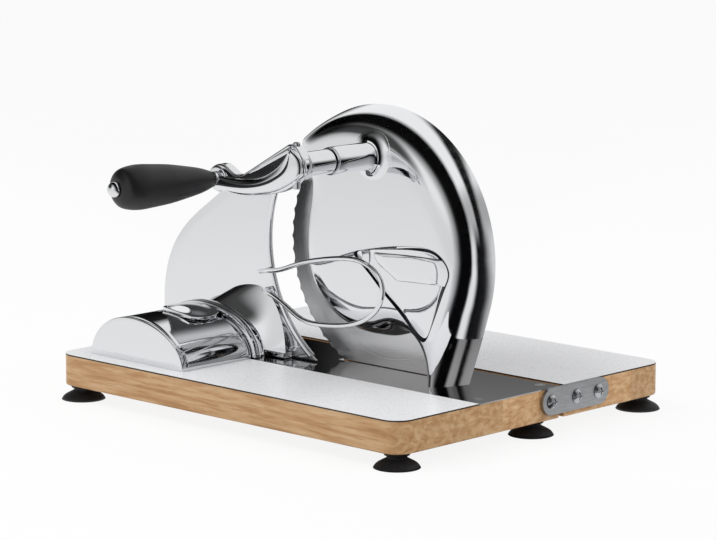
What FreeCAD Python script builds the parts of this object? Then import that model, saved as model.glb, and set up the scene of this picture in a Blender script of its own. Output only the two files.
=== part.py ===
# Hand-cranked bread slicer on a folding board.
# Millimetres, +Z up, +X along the long front edge to the right, +Y from the user to the back.
# Every piece is drawn in bench places: x = 0 at the middle of the board, y = 0 at its front edge
# and z = 0 on the table. The placement of each sub-part then shifts it by front_edge_y, so that
# the origin of the model is the middle of its outer box, on the table.
import FreeCAD, Part
import math
import os
import re
import Sketcher
from FreeCAD import Placement, Rotation, Vector

# ---------------------------------------------------------------- driving dimensions
DIMS = {
    # board and folding table
    "board_length": 340.0,
    "front_depth": 163.2,
    "hinge_gap": 5.4,
    "rear_depth": 111.4,
    "board_thickness": 22.2,
    "panel_thickness": 1.0,
    "panel_depth": 80.3,
    "bed_thickness": 0.8,
    "bed_screw_inset": 12.0,
    "bed_screw_radius": 1.6,
    "bed_screw_head": 3.6,
    "bed_screw_length": 9.0,
    "board_corner": 14.0,
    "edge_round": 1.2,
    # suction feet
    "foot_height": 11.0,
    "cup_radius": 16.0,
    "cup_neck": 7.0,
    "cup_inset": 13.0,
    "cup_middle_y": 149.0,
    "cup_wall": 2.4,
    "stud_radius": 2.5,
    "stud_length": 10.0,
    # link plates of the folding table
    "link_length": 71.0,
    "link_height": 19.0,
    "link_thickness": 2.5,
    "link_gap": 0.3,
    "pivot_inset": 10.4,
    "pivot_drop": 9.5,
    "link_screw_near": 26.8,
    "link_screw_far": 50.3,
    "link_screw_radius": 2.5,
    "link_screw_head": 5.0,
    "link_screw_length": 22.0,
    "link_head_gap": 0.2,
    # blade and drive
    "blade_x": 41.6,
    "blade_z": 119.2,
    "blade_y": 126.6,
    "blade_radius": 95.0,
    "blade_thickness": 1.2,
    "blade_bevel": 9.0,
    "blade_edge": 0.3,
    "blade_teeth": 60,
    "tooth_depth": 1.3,
    "gear_module": 2.0,
    "gear_teeth": 54,
    "pinion_teeth": 20,
    "gear_width": 6.0,
    "axle_radius": 6.0,
    "hub_radius": 13.0,
    "hub_length": 6.0,
    "running_gap": 0.04,
    "rivet_radius": 2.0,
    "rivet_head": 1.2,
    "tooth_slack": 0.35,
    "slot_gap": 2.0,
    # drive housing
    "pinion_room": 4.8,
    "housing_rim_y": 123.7,
    "housing_shoulder_y": 110.0,
    "housing_front_y": 92.6,
    "shoulder_inset": 3.8,
    "crown_inset": 33.0,
    "housing_wall": 3.0,
    "leg_outer_x": 122.1,
    "leg_inner_x": 96.0,
    "leg_angle": 19.0,
    "lobe_angle": 135.0,
    "cover_radius": 61.0,
    "leg_fillet": 22.0,
    "foot_block": 7.0,
    "recess_depth": 1.6,
    "band_step": 0.9,
    "sleeve_fillet": 8.0,
    # crank
    "shaft_radius": 5.0,
    "shaft_lean": 12.9,
    "sleeve_radius": 9.8,
    "sleeve_front_y": 51.0,
    "arm_sleeve_radius": 8.6,
    "arm_back_y": 23.0,
    "arm_thickness": 8.0,
    "washer_thickness": 1.0,
    "bush_length": 14.0,
    "bush_wall": 2.0,
    "arm_bead": 5.6,
    "arm_rise": 14.6,
    "hub_pin_radius": 2.5,
    "hub_pin_reach": 16.0,
    "pinion_pin_radius": 1.5,
    "grip_offset_x": -73.0,
    "grip_offset_z": -15.4,
    "grip_lean": 8.0,
    "grip_pin_radius": 4.0,
    "grip_length": 84.0,
    "grip_radius": 15.5,
    "grip_neck": 7.5,
    "grip_cap_radius": 5.4,
    "grip_collar": 4.0,
    # slice stop and its guide
    "stop_y": 107.0,
    "stop_thickness": 2.0,
    "stop_left": -169.0,
    "stop_top": 159.0,
    "stop_travel": 18.0,
    "base_screw_radius": 2.5,
    "base_screw_head": 4.6,
    "base_screw_head_height": 3.0,
    "base_screw_sink": 4.0,
    "base_screw_inset": 14.0,
    "guide_apex_x": -107.0,
    "guide_left": 42.0,
    "guide_right": 55.0,
    "guide_height": 32.0,
    "guide_front_y": 14.0,
    "guide_back_y": 82.0,
    "guide_wall": 3.0,
    "slide_gap": 0.4,
    "seat_gap": 0.3,
    "slide_block": 15.0,
    "end_cap_thickness": 3.0,
    "neck_wall": 2.5,
    "rail_width": 24.0,
    "rail_height": 8.0,
    "bracket_rise": 20.0,
    "bracket_shift": 37.0,
    "bracket_foot": 84.0,
    "collar_rise": 3.0,
    "collar_width": 9.0,
    "stop_clearance": 3.0,
    "stop_bead": 2.4,
    "lever_front_y": 47.0,
    "lever_length": 34.0,
    "lever_left": -115.0,
    "lever_width": 38.0,
    "lever_rise": 3.0,
    "lever_wall": 4.0,
    "lever_pin_x": -110.5,
    "lever_pin_z": 62.4,
    "lever_pin_radius": 1.2,
    "lever_ear": 2.0,
    "knuckle_radius": 2.9,
    "loop_reach": 99.0,
    "loop_hole_x": -59.8,
    "loop_front_y": 62.0,
    "loop_low": 72.0,
    "loop_high": 123.0,
    "wire_radius": 1.4,
}


class Sizes:
    """The dimensions as attributes: v.board_length and so on."""
    def __init__(self, table):
        self.__dict__.update(table)


v = Sizes(DIMS)

# ---------------------------------------------------------------- sizes that follow from them
v.panel_top = v.foot_height + v.board_thickness + v.panel_thickness
v.wood_top = v.foot_height + v.board_thickness
v.bed_top = v.wood_top + v.bed_thickness
v.half_length = v.board_length / 2
v.rear_start = v.front_depth + v.hinge_gap
v.total_depth = v.rear_start + v.rear_depth
v.pivot_y = v.front_depth - v.pivot_inset
v.pivot_z = v.panel_top - v.pivot_drop
v.gear_pitch = v.gear_module * v.gear_teeth / 2
v.pinion_pitch = v.gear_module * v.pinion_teeth / 2
v.centre_distance = v.gear_pitch + v.pinion_pitch
v.housing_radius = v.centre_distance + v.pinion_pitch + v.gear_module + v.pinion_room + v.housing_wall
v.shaft_x = v.blade_x + v.centre_distance * math.sin(math.radians(v.shaft_lean))
v.shaft_z = v.blade_z + v.centre_distance * math.cos(math.radians(v.shaft_lean))
v.blade_front = v.blade_y - v.blade_thickness / 2
v.gear_front = v.blade_front - v.gear_width
v.grip_x = v.shaft_x + v.grip_offset_x
v.grip_z = v.shaft_z + v.grip_offset_z
v.arm_front_y = v.arm_back_y - v.arm_thickness
v.grip_start_y = v.arm_front_y - 1.0
v.stop_front_y = v.stop_y - v.stop_thickness
v.cap_start = v.grip_length + 0.4
v.front_reach = v.grip_start_y - v.cap_start * math.cos(math.radians(v.grip_lean)) - v.grip_cap_radius
v.rear_reach = max(v.total_depth, v.total_depth - v.cup_inset + v.cup_radius)
v.front_edge_y = -(v.front_reach + v.rear_reach) / 2

Y = Vector(0, 1, 0)
X = Vector(1, 0, 0)
Z = Vector(0, 0, 1)

doc = FreeCAD.newDocument("bread_slicer")
sheet = doc.addObject("Spreadsheet::Sheet", "dims")
for row, (name, size) in enumerate(sorted(v.__dict__.items()), 1):
    sheet.set("A%d" % row, name)
    sheet.set("B%d" % row, repr(float(size)))
    sheet.setAlias("B%d" % row, name)
doc.recompute()

SUBPARTS = []


# ---------------------------------------------------------------- small helpers
def formula(text):
    """Writes each dimension's name in a formula as a cell of the sheet."""
    known = v.__dict__
    return re.sub(r"[a-z_]+", lambda word: "dims." + word.group(0) if word.group(0) in known else word.group(0),
                  str(text))


def bind(item, **formulas):
    for prop, text in formulas.items():
        item.setExpression(prop, formula(text))
    return item


def put(item, x=0, y=0, z=0):
    """Binds the place of an item to formulas of the sheet."""
    for axis, text in (("x", x), ("y", y), ("z", z)):
        item.setExpression("Placement.Base." + axis, formula(text))
    return item


TURN = {"x": Rotation(Y, 90), "y": Rotation(X, -90), "z": Rotation(), "-y": Rotation(X, 90),
        "-z": Rotation(X, 180), "-x": Rotation(Y, -90)}


def box(name, size, corner):
    item = doc.addObject("Part::Box", name)
    bind(item, Length=size[0], Width=size[1], Height=size[2])
    return put(item, *corner)


def rod(name, radius, length, start, way="z"):
    item = doc.addObject("Part::Cylinder", name)
    bind(item, Radius=radius, Height=length)
    item.Placement = Placement(Vector(), TURN[way])
    return put(item, *start)


def cone(name, radius_a, radius_b, length, start, way="z"):
    item = doc.addObject("Part::Cone", name)
    bind(item, Radius1=radius_a, Radius2=radius_b, Height=length)
    item.Placement = Placement(Vector(), TURN[way])
    return put(item, *start)


def fuse(name, *pieces):
    item = doc.addObject("Part::MultiFuse", name)
    item.Shapes = list(pieces)
    item.Refine = True
    return item


def cut(name, base, *tools):
    item = doc.addObject("Part::Cut", name)
    item.Base = base
    item.Tool = tools[0] if len(tools) == 1 else fuse(name + "_tools", *tools)
    item.Refine = True
    return item


def common(name, base, tool):
    item = doc.addObject("Part::Common", name)
    item.Base = base
    item.Tool = tool
    return item


def group(name, *pieces):
    item = doc.addObject("Part::Compound", name)
    item.Links = list(pieces)
    return item


def shaped(name, shape):
    """A piece whose form is worked out by the functions below."""
    item = doc.addObject("Part::Feature", name)
    item.Shape = shape
    return item


def subpart(label, item):
    """Names a finished sub-part and moves it from its bench place to the model's frame."""
    item.Label = label
    put(item, 0, "front_edge_y", 0)
    SUBPARTS.append(item)
    return item


def solid_between(wires, ruled=False):
    return Part.makeLoft(wires, True, ruled)


def spline(points, start=None, end=None):
    curve = Part.BSplineCurve()
    tangents = {}
    if start is not None and end is not None:
        tangents = {"InitialTangent": start, "FinalTangent": end}
    curve.interpolate(Points=points, **tangents)
    return curve.toShape()


# ---------------------------------------------------------------- boards and panels
def slab(name, depth, thickness, corner_sign, corner="board_corner"):
    """A PartDesign plate as long as the board, with two rounded corners on one long side."""
    body = doc.addObject("PartDesign::Body", name)
    sketch = body.newObject("Sketcher::SketchObject", name + "_outline")
    flat = [item for item in body.Origin.OriginFeatures if item.Role == "XY_Plane"][0]
    sketch.AttachmentSupport = [(flat, "")]
    sketch.MapMode = "FlatFace"
    corners = [Vector(-50, 0, 0), Vector(50, 0, 0), Vector(50, 40, 0), Vector(-50, 40, 0)]
    for first, second in zip(corners, corners[1:] + corners[:1]):
        sketch.addGeometry(Part.LineSegment(first, second), False)
    for edge in range(4):
        sketch.addConstraint(Sketcher.Constraint("Coincident", edge, 2, (edge + 1) % 4, 1))
    for edge, kind in ((1, "Vertical"), (2, "Horizontal"), (3, "Vertical")):
        sketch.addConstraint(Sketcher.Constraint(kind, edge))
    sketch.addConstraint(Sketcher.Constraint("Symmetric", 0, 1, 0, 2, -2))
    sketch.addConstraint(Sketcher.Constraint("PointOnObject", 0, 1, -1))
    length_rule = sketch.addConstraint(Sketcher.Constraint("Distance", 0, 100.0))
    depth_rule = sketch.addConstraint(Sketcher.Constraint("Distance", 1, 40.0))
    sketch.setExpression("Constraints[%d]" % length_rule, formula("board_length"))
    sketch.setExpression("Constraints[%d]" % depth_rule, formula(depth))
    pad = body.newObject("PartDesign::Pad", name + "_pad")
    pad.Profile = sketch
    bind(pad, Length=thickness)
    doc.recompute()
    if corner_sign:
        rounding = body.newObject("PartDesign::Fillet", name + "_corners")
        far = corner_sign > 0
        edges = []
        for number, edge in enumerate(pad.Shape.Edges, 1):
            upright = abs(edge.tangentAt(edge.FirstParameter).z) > 0.9
            at_back = edge.CenterOfMass.y > pad.Shape.BoundBox.Center.y
            if upright and at_back == far:
                edges.append("Edge%d" % number)
        rounding.Base = (pad, edges)
        bind(rounding, Radius=corner)
        doc.recompute()
    return body


def disc_slot(name, gap):
    """The milled slot under the blade: a disc a little larger and thicker than the blade."""
    return rod(name, "blade_radius + " + gap, "blade_thickness + 2 * " + gap,
               ("blade_x", "blade_front - " + gap, "blade_z"), "y")


def edge_softened(name, item, radius, top_z, bottom_z=None):
    """Rounds the long outline edges of a plate at the given heights."""
    doc.recompute()
    edges = []
    for number, edge in enumerate(item.Shape.Edges, 1):
        bounds = edge.BoundBox
        if bounds.ZLength > 0.01:
            continue
        if abs(bounds.ZMax - top_z) < 0.01 or (bottom_z is not None and abs(bounds.ZMax - bottom_z) < 0.01):
            edges.append((number, radius, radius))
    rounding = doc.addObject("Part::Fillet", name)
    rounding.Base = item
    rounding.Edges = edges
    return rounding


def boards():
    front = slab("front_board_blank", "front_depth", "board_thickness", -1)
    put(front, 0, 0, "foot_height")
    front_soft = edge_softened("front_board_edges", front, v.edge_round, v.foot_height)
    pockets = [disc_slot("front_board_slot", "slot_gap")]
    for side in (-1, 1):
        pockets.append(rod("pivot_screw_bore", "link_screw_radius", "link_screw_length",
                           ("%d * half_length" % side, "pivot_y", "pivot_z"), "x" if side < 0 else "-x"))
        for along in ("cup_inset", "cup_middle_y"):
            pockets.append(rod("cup_stud_bore", "stud_radius", "stud_length",
                               ("%d * (half_length - cup_inset)" % side, along, "foot_height")))
    for across, along in bed_screw_places():
        pockets.append(rod("bed_screw_bore", "bed_screw_radius", "bed_screw_length",
                           (across, along, "wood_top - bed_screw_length")))
    subpart("front_board", cut("front_board_body", front_soft, *pockets, *base_screw_bores("board")))

    rear = slab("rear_board_blank", "rear_depth", "board_thickness", 1)
    put(rear, 0, "rear_start", "foot_height")
    rear_soft = edge_softened("rear_board_edges", rear, v.edge_round, v.foot_height)
    pockets = []
    for side in (-1, 1):
        for along in ("link_screw_near", "link_screw_far"):
            pockets.append(rod("link_screw_bore", "link_screw_radius", "link_screw_length",
                               ("%d * half_length" % side, "pivot_y + " + along, "pivot_z"),
                               "x" if side < 0 else "-x"))
        pockets.append(rod("cup_stud_bore", "stud_radius", "stud_length",
                           ("%d * (half_length - cup_inset)" % side, "total_depth - cup_inset", "foot_height")))
    subpart("rear_board", cut("rear_board_body", rear_soft, *pockets))

    panel = slab("front_panel_blank", "panel_depth", "panel_thickness", -1)
    put(panel, 0, 0, "wood_top")
    subpart("front_panel", cut("front_panel_body", panel, *base_screw_bores("panel", "guide_screws")))
    panel = slab("rear_panel_blank", "rear_depth", "panel_thickness", 1)
    put(panel, 0, "rear_start", "wood_top")
    subpart("rear_panel", group("rear_panel_body", panel))


def base_screw_places():
    """Screws from below: two into the casting's foot and two into the guide rail."""
    foot_x = (v.leg_inner_x + v.leg_outer_x) / 2
    deep = v.housing_rim_y - v.housing_front_y
    return {"housing_screws": [(foot_x, v.housing_front_y + share * deep) for share in (0.37, 0.75)],
            "guide_screws": [(v.guide_apex_x, v.guide_front_y + v.base_screw_inset),
                              (v.guide_apex_x, v.guide_back_y - v.base_screw_inset)]}


def base_screw_bores(name, *labels):
    """Bores for those screws; the ones in the board start with a counterbore for the head."""
    bores = []
    for label, places in base_screw_places().items():
        for x, y in places if label in labels or not labels else ():
            place = (str(x), str(y), "foot_height")
            bores.append(rod(name + "_screw_bore", "base_screw_radius", "board_thickness + foot_block + panel_thickness",
                             place))
            if not labels:
                bores.append(rod(name + "_screw_sink", "base_screw_head + slide_gap", "base_screw_sink", place))
    return bores


def base_screws():
    lengths = {"housing_screws": v.bed_top + v.foot_block - 1, "guide_screws": v.panel_top + v.rail_height - 1}
    seat = v.foot_height + v.base_screw_sink
    for label, places in base_screw_places().items():
        screws = []
        for x, y in places:
            shank = Part.makeCylinder(v.base_screw_radius, lengths[label] - seat, Vector(x, y, seat))
            head = Part.makeCylinder(v.base_screw_head, v.base_screw_head_height,
                                     Vector(x, y, seat - v.base_screw_head_height))
            drive = Part.makeCylinder(0.4 * v.base_screw_head, v.base_screw_head_height / 2,
                                      Vector(x, y, seat - v.base_screw_head_height))
            screws.append(shank.fuse(head).cut(drive).removeSplitter())
        subpart(label, shaped(label + "_set", Part.makeCompound(screws)))


def bed_screw_places():
    return [("%d * (half_length - bed_screw_inset)" % side, along)
            for side in (-1, 1) for along in ("panel_depth + bed_screw_inset", "front_depth - bed_screw_inset / 2")]


def bed_plate():
    plate = box("bed_plate_blank", ("board_length", "front_depth - panel_depth", "bed_thickness"),
                ("-half_length", "panel_depth", "wood_top"))
    cuts = [disc_slot("bed_plate_slot", "slot_gap")] + base_screw_bores("bed", "housing_screws")
    screws = []
    for across, along in bed_screw_places():
        place = (across, along, "wood_top")
        cuts.append(cone("bed_screw_sink", "bed_screw_radius + 0.1", "bed_screw_head", "bed_thickness + 0.01", place))
        head = cone("bed_screw_cone", "bed_screw_radius", "bed_screw_head - 0.1", "bed_thickness", place)
        shank = rod("bed_screw_shank", "bed_screw_radius", "bed_screw_length",
                    (across, along, "wood_top - bed_screw_length"))
        screws.append(fuse("bed_screw", head, shank))
    subpart("bed_plate", cut("bed_plate_body", plate, *cuts))
    subpart("bed_screws", group("bed_screw_set", *screws))


# ---------------------------------------------------------------- feet and folding links
def suction_cup(x, y):
    """A rubber cup: hollow flared bell, waist and top flange, turned about the upright axis."""
    high = v.foot_height
    wall = v.cup_wall
    profile = [Vector(v.cup_neck, 0, high), Vector(v.cup_neck, 0, high - 2.5), Vector(v.cup_neck - 1.5, 0, high - 4.5),
               Vector(v.cup_neck + 1.5, 0, high - 6.5), Vector(v.cup_radius, 0, wall / 2),
               Vector(v.cup_radius, 0, 0), Vector(v.cup_radius - wall / 2, 0, 0),
               Vector(v.cup_neck - 1, 0, wall + 1.2), Vector(0, 0, wall + 1.8), Vector(0, 0, high)]
    face = Part.Face(Part.makePolygon(profile + profile[:1]))
    cup = face.revolve(Vector(), Z, 360)
    bore = Part.makeCylinder(v.stud_radius, high, Vector(0, 0, high - 4))
    cup = cup.cut(bore)
    cup.translate(Vector(x, y, 0))
    return cup


def feet():
    across = v.half_length - v.cup_inset
    rows = {"front": (v.cup_inset, v.cup_middle_y), "rear": (v.total_depth - v.cup_inset,)}
    for name, places in rows.items():
        cups = []
        studs = []
        for y in places:
            for side in (-1, 1):
                cups.append(suction_cup(side * across, y))
                studs.append(rod(name + "_stud", "stud_radius", "stud_length + 4",
                                 (str(side * across), str(y), "foot_height - 4")))
        subpart(name + "_cups", shaped(name + "_cup_set", Part.makeCompound(cups)))
        subpart(name + "_cup_studs", group(name + "_stud_set", *studs))


def link_plates():
    """Two rounded steel straps, one each side: they turn on the pivot screws and carry the rear board."""
    start = "pivot_y - link_height / 2"
    for side, label in ((-1, "link_plate_left"), (1, "link_plate_right")):
        face = "half_length + link_gap" if side > 0 else "-half_length - link_gap - link_thickness"
        bar = box("link_bar", ("link_thickness", "link_length - link_height", "link_height"),
                  (face, "pivot_y", "pivot_z - link_height / 2"))
        ends = [rod("link_end", "link_height / 2", "link_thickness", (face, along, "pivot_z"), "x")
                for along in ("pivot_y", "pivot_y + link_length - link_height")]
        holes = [rod("link_hole", "link_screw_radius + running_gap", "link_thickness + 2",
                     (face + " - 1", along, "pivot_z"), "x")
                 for along in ("pivot_y", "pivot_y + link_screw_near", "pivot_y + link_screw_far")]
        subpart(label, cut(label + "_body", fuse(label + "_strap", bar, *ends), *holes))


def link_screw(side, along):
    """A pan-head screw with a cross recess, driven in from one side of the board."""
    way = "-x" if side > 0 else "x"
    seat = v.half_length + v.link_gap + v.link_thickness + v.link_head_gap
    head = Part.makeSphere(v.link_screw_head * 1.3, Vector(), X, -90, 90)
    cap = Part.makeCylinder(v.link_screw_head, v.link_screw_head * 0.55, Vector(), X)
    head = cap.common(head.translated(Vector(-v.link_screw_head * 0.75, 0, 0)))
    reach = v.link_screw_head * 0.6
    depth = v.link_screw_head * 0.3
    for turn in (0, 90):
        slot = Part.makeBox(depth, 1.0, 2 * reach, Vector(head.BoundBox.XMax - depth, -0.5, -reach))
        slot.rotate(Vector(), X, turn)
        head = head.cut(slot)
    length = seat - v.half_length + v.link_screw_length
    shank = Part.makeCylinder(v.link_screw_radius, length, Vector(-length, 0, 0), X)
    screw = head.fuse(shank).removeSplitter()
    screw.translate(Vector(seat, along, v.pivot_z))
    if side < 0:
        screw = screw.mirror(Vector(), X)
    return screw


def link_screws():
    sets = {"pivot_screws": (0.0,), "link_screws": (v.link_screw_near, v.link_screw_far)}
    for label, offsets in sets.items():
        screws = [link_screw(side, v.pivot_y + offset) for side in (-1, 1) for offset in offsets]
        subpart(label, shaped(label + "_set", Part.makeCompound(screws)))


# ---------------------------------------------------------------- drive housing
def housing_section(y, inset, leg_inset, inner_inset, foot_z):
    """Outline of the housing in the upright plane at y: a big arc over the blade, a straight
    leg on its right, a sweep round the gear below and a hollow left edge up to the lobe."""
    cx, cz = v.blade_x, v.blade_z
    radius = v.housing_radius - inset
    outer = []
    steps = 8
    for step in range(steps + 1):
        turn = math.radians(v.lobe_angle - (v.lobe_angle + v.leg_angle) * step / steps)
        outer.append(Vector(cx + radius * math.cos(turn), y, cz + radius * math.sin(turn)))
    lean = math.tan(math.radians(v.leg_angle))
    foot = Vector(v.leg_outer_x - leg_inset, y, foot_z)
    joint = outer[-1]
    middle = Vector((joint.x + foot.x) / 2 + 0.25 * (inset - leg_inset) * lean, y, (joint.z + foot.z) / 2)
    edge = spline(outer + [middle, foot])

    gear_radius = v.cover_radius - inner_inset
    fillet = v.leg_fillet + inner_inset
    leg_x = v.leg_inner_x + inner_inset
    fillet_x = leg_x - fillet
    reach = gear_radius + fillet
    fillet_z = cz - math.sqrt(reach ** 2 - (fillet_x - cx) ** 2)
    touch = Vector(cx + gear_radius * (fillet_x - cx) / reach, y, cz + gear_radius * (fillet_z - cz) / reach)
    leg_top = Vector(leg_x, y, fillet_z)
    half = math.atan2(touch.z - fillet_z, touch.x - fillet_x) / 2
    bend = Vector(fillet_x + fillet * math.cos(half), y, fillet_z + fillet * math.sin(half))
    low = Vector(leg_x, y, foot_z)
    left = Vector(cx - gear_radius, y, cz)
    sweep = (math.atan2(touch.z - cz, touch.x - cx) - math.pi) / 2
    belly = Vector(cx + gear_radius * math.cos(sweep), y, cz + gear_radius * math.sin(sweep))
    start = outer[0]
    bow = v.cover_radius
    hollow = [left, Vector(left.x + 0.025 * bow, y, cz + 0.426 * bow), Vector(left.x + 0.082 * bow, y, cz + 0.754 * bow),
              Vector(left.x + 0.5 * inner_inset + 0.016 * bow, y, cz + 0.951 * bow), start]
    edges = [edge, Part.makeLine(foot, low), Part.makeLine(low, leg_top),
             Part.Arc(leg_top, bend, touch).toShape(), Part.Arc(touch, belly, left).toShape(),
             spline(hollow, Vector(0, 0, 1), Vector(start.x - hollow[3].x, 0, start.z - hollow[3].z))]
    return Part.Wire(edges)


def housing_block(thinner, back_y, front_shift, foot_z):
    """The outer form, or with thinner > 0 the space inside its wall: a leaning wall from the rim
    to the shoulder, then a dome whose rings step in by 1 - (1 - part)^(1/4) of the crown."""
    shoulder_y, depth = v.housing_shoulder_y + front_shift, v.housing_shoulder_y - v.housing_front_y
    rings = [housing_section(back_y, thinner, thinner, thinner, foot_z)]
    for part in (0.0, 0.12, 0.3, 0.5, 0.7, 0.86, 1.0):
        fall = 1 - (1 - part) ** 0.25
        grown = (v.crown_inset - v.shoulder_inset) * fall
        rings.append(housing_section(shoulder_y - depth * part, v.shoulder_inset + grown + thinner,
                                     v.shoulder_inset + 0.3 * grown + thinner, 1 + 3 * fall + thinner, foot_z))
    return solid_between(rings, True)


def turned(profile, at, way=Y):
    """Turns a profile of (radius, distance along the axis) about an axis from the point at."""
    side = X if abs(way.x) < 0.9 else Z
    side = (side - way * side.dot(way)).normalize()
    points = [at + way * along + side * radius for radius, along in profile]
    face = Part.Face(Part.makePolygon(points + points[:1]))
    return face.revolve(at, way, 360)


def drive_housing():
    shell = housing_block(0, v.housing_rim_y, 0, v.bed_top)
    hollow = housing_block(v.housing_wall, v.housing_rim_y + 1, v.housing_wall, v.bed_top + v.foot_block)
    shell = shell.cut(hollow)
    shaft = Vector(v.shaft_x, 0, v.shaft_z)
    sleeve_back = v.gear_front - v.hub_length - v.seat_gap
    slim, flare = v.sleeve_radius, v.sleeve_fillet
    front = v.housing_front_y
    sleeve = turned([(0, v.sleeve_front_y), (slim, v.sleeve_front_y), (slim, front - 0.75 * flare),
                     (slim + 0.15 * flare, front - 0.25 * flare), (slim + 0.44 * flare, front + 0.25 * flare),
                     (slim + flare, front + 0.69 * flare), (slim + flare, front + 0.88 * flare),
                     (slim + 0.1 * flare, sleeve_back), (0, sleeve_back)], shaft)
    boss = Part.makeCylinder(v.hub_radius, sleeve_back - v.housing_front_y - 1,
                             Vector(v.blade_x, v.housing_front_y + 1, v.blade_z), Y)
    shell = shell.fuse([sleeve, boss])
    bore = Part.makeCylinder(v.shaft_radius + v.bush_wall, v.blade_y - v.sleeve_front_y,
                             Vector(v.shaft_x, v.sleeve_front_y - 1, v.shaft_z), Y)
    axle_bore = Part.makeCylinder(v.axle_radius, v.blade_y - v.housing_front_y,
                                  Vector(v.blade_x, v.housing_front_y + 3, v.blade_z), Y)
    screws = [Part.makeCylinder(v.base_screw_radius, v.foot_block, Vector(x, y, v.bed_top - 1))
              for x, y in base_screw_places()["housing_screws"]]
    shell = shell.cut([bore, axle_bore, name_recess()] + screws).fuse(bare_band())
    subpart("drive_housing", shaped("drive_housing_casting", shell))


def name_recess():
    """A shallow pocket: a soft triangle that hangs from the middle of the front, its places given
    as shares of the housing's radius from the blade's axle."""
    return Part.Face(plate_line(((0.630, -0.512), (0.688, -0.445), (0.765, -0.281), (0.832, -0.118), (0.866, -0.031),
                                 (0.832, 0.046), (0.726, 0.114), (0.601, 0.118), (0.370, 0.090), (0.100, 0.051),
                                 (-0.006, 0.017), (0.081, -0.069), (0.274, -0.233), (0.447, -0.378), (0.563, -0.493)),
                                v.housing_front_y + v.recess_depth)).extrude(-Y * 10 * v.recess_depth)


def bare_band():
    """A raised band across the pocket's floor."""
    return Part.Face(plate_line(((0.168, 0.040), (0.466, 0.052), (0.786, 0.056), (0.826, 0.008), (0.834, -0.060),
                                 (0.813, -0.118), (0.601, -0.121), (0.380, -0.131), (0.274, -0.069), (0.177, 0.004)),
                                v.housing_front_y + v.band_step)).extrude(Y * (v.recess_depth - 0.6 * v.band_step))


def plate_line(shares, y):
    """Closed smooth line through places given as shares of the housing's radius."""
    curve = Part.BSplineCurve()
    curve.interpolate(Points=[Vector(v.blade_x + v.housing_radius * across, y, v.blade_z + v.housing_radius * up)
                              for across, up in shares], PeriodicFlag=True)
    return Part.Wire([curve.toShape()])


def rounded_path(points, closed=False, share=0.45):
    """Straight runs joined by tangent arcs, each as large as its two runs allow."""
    bends = []
    for before, corner, after in zip(points, points[1:], points[2:]):
        into = (corner - before)
        out = (after - corner)
        short = min(into.Length, out.Length)
        turn = into.getAngle(out)
        trim = share * short
        start = corner - into.normalize() * trim
        end = corner + out.normalize() * trim
        radius = trim / math.tan(turn / 2)
        middle_way = (start + end) * 0.5 - corner
        reach = math.sqrt(radius ** 2 + trim ** 2) - radius
        bends.append((start, corner + middle_way.normalize() * reach, end))
    edges = []
    last = bends[-1][2] if closed else points[0]
    for start, middle, end in bends:
        if (start - last).Length > 1e-6:
            edges.append(Part.makeLine(last, start))
        edges.append(Part.Arc(start, middle, end).toShape())
        last = end
    if not closed:
        edges.append(Part.makeLine(last, points[-1]))
    return Part.Wire(edges)


# ---------------------------------------------------------------- blade and gears
def gear_wire(teeth, y, centre, first_tooth):
    """Closed outline of a spur gear: each flank runs from the root over the pitch line to the tip."""
    module = v.gear_module
    pitch = module * teeth / 2
    half_pitch = math.pi / teeth
    slack = v.tooth_slack / pitch / 2
    rings = ((pitch - 1.2 * module, 0.80), (pitch - 0.5 * module, 0.66), (pitch, 0.5), (pitch + 0.9 * module, 0.22))
    points = []
    for tooth in range(teeth):
        middle = first_tooth + 2 * half_pitch * tooth
        for sign, order in ((-1, rings), (1, rings[::-1])):
            for radius, share in order:
                turn = middle + sign * (share * half_pitch - slack)
                points.append(Vector(centre.x + radius * math.cos(turn), y, centre.z + radius * math.sin(turn)))
    return Part.makePolygon(points + points[:1])


def blade():
    """Serrated round blade with a ground bevel on its back face, on a riveted gear."""
    middle = Vector(v.blade_x, 0, v.blade_z)
    back = v.blade_front + v.blade_thickness
    bush_hole = v.axle_radius + v.bush_wall
    profile = [(bush_hole, v.blade_front), (v.blade_radius, v.blade_front),
               (v.blade_radius, v.blade_front + v.blade_edge), (v.blade_radius - v.blade_bevel, back), (bush_hole, back)]
    disc = turned(profile, middle)
    notch = math.pi * v.blade_radius / v.blade_teeth * 0.94
    notch_radius = (notch ** 2 + v.tooth_depth ** 2) / (2 * v.tooth_depth)
    away = v.blade_radius + notch_radius - v.tooth_depth
    notches = []
    for tooth in range(v.blade_teeth):
        turn = 2 * math.pi * (tooth + 0.5) / v.blade_teeth
        at = middle + Vector(away * math.cos(turn), v.blade_front - 1, away * math.sin(turn))
        notches.append(Part.makeCylinder(notch_radius, v.blade_thickness + 2, at, Y))
    holes = [Part.makeCylinder(v.rivet_radius, v.blade_thickness + 2, middle + at + Y * (v.blade_front - 1), Y)
             for at in rivet_places()]
    disc = disc.cut(notches + holes)
    subpart("blade", shaped("blade_disc", disc))


def rivet_places():
    ring = v.hub_radius + 8
    return [Vector(ring * math.cos(turn), 0, ring * math.sin(turn))
            for turn in [math.radians(60 * step + 30) for step in range(6)]]


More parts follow.
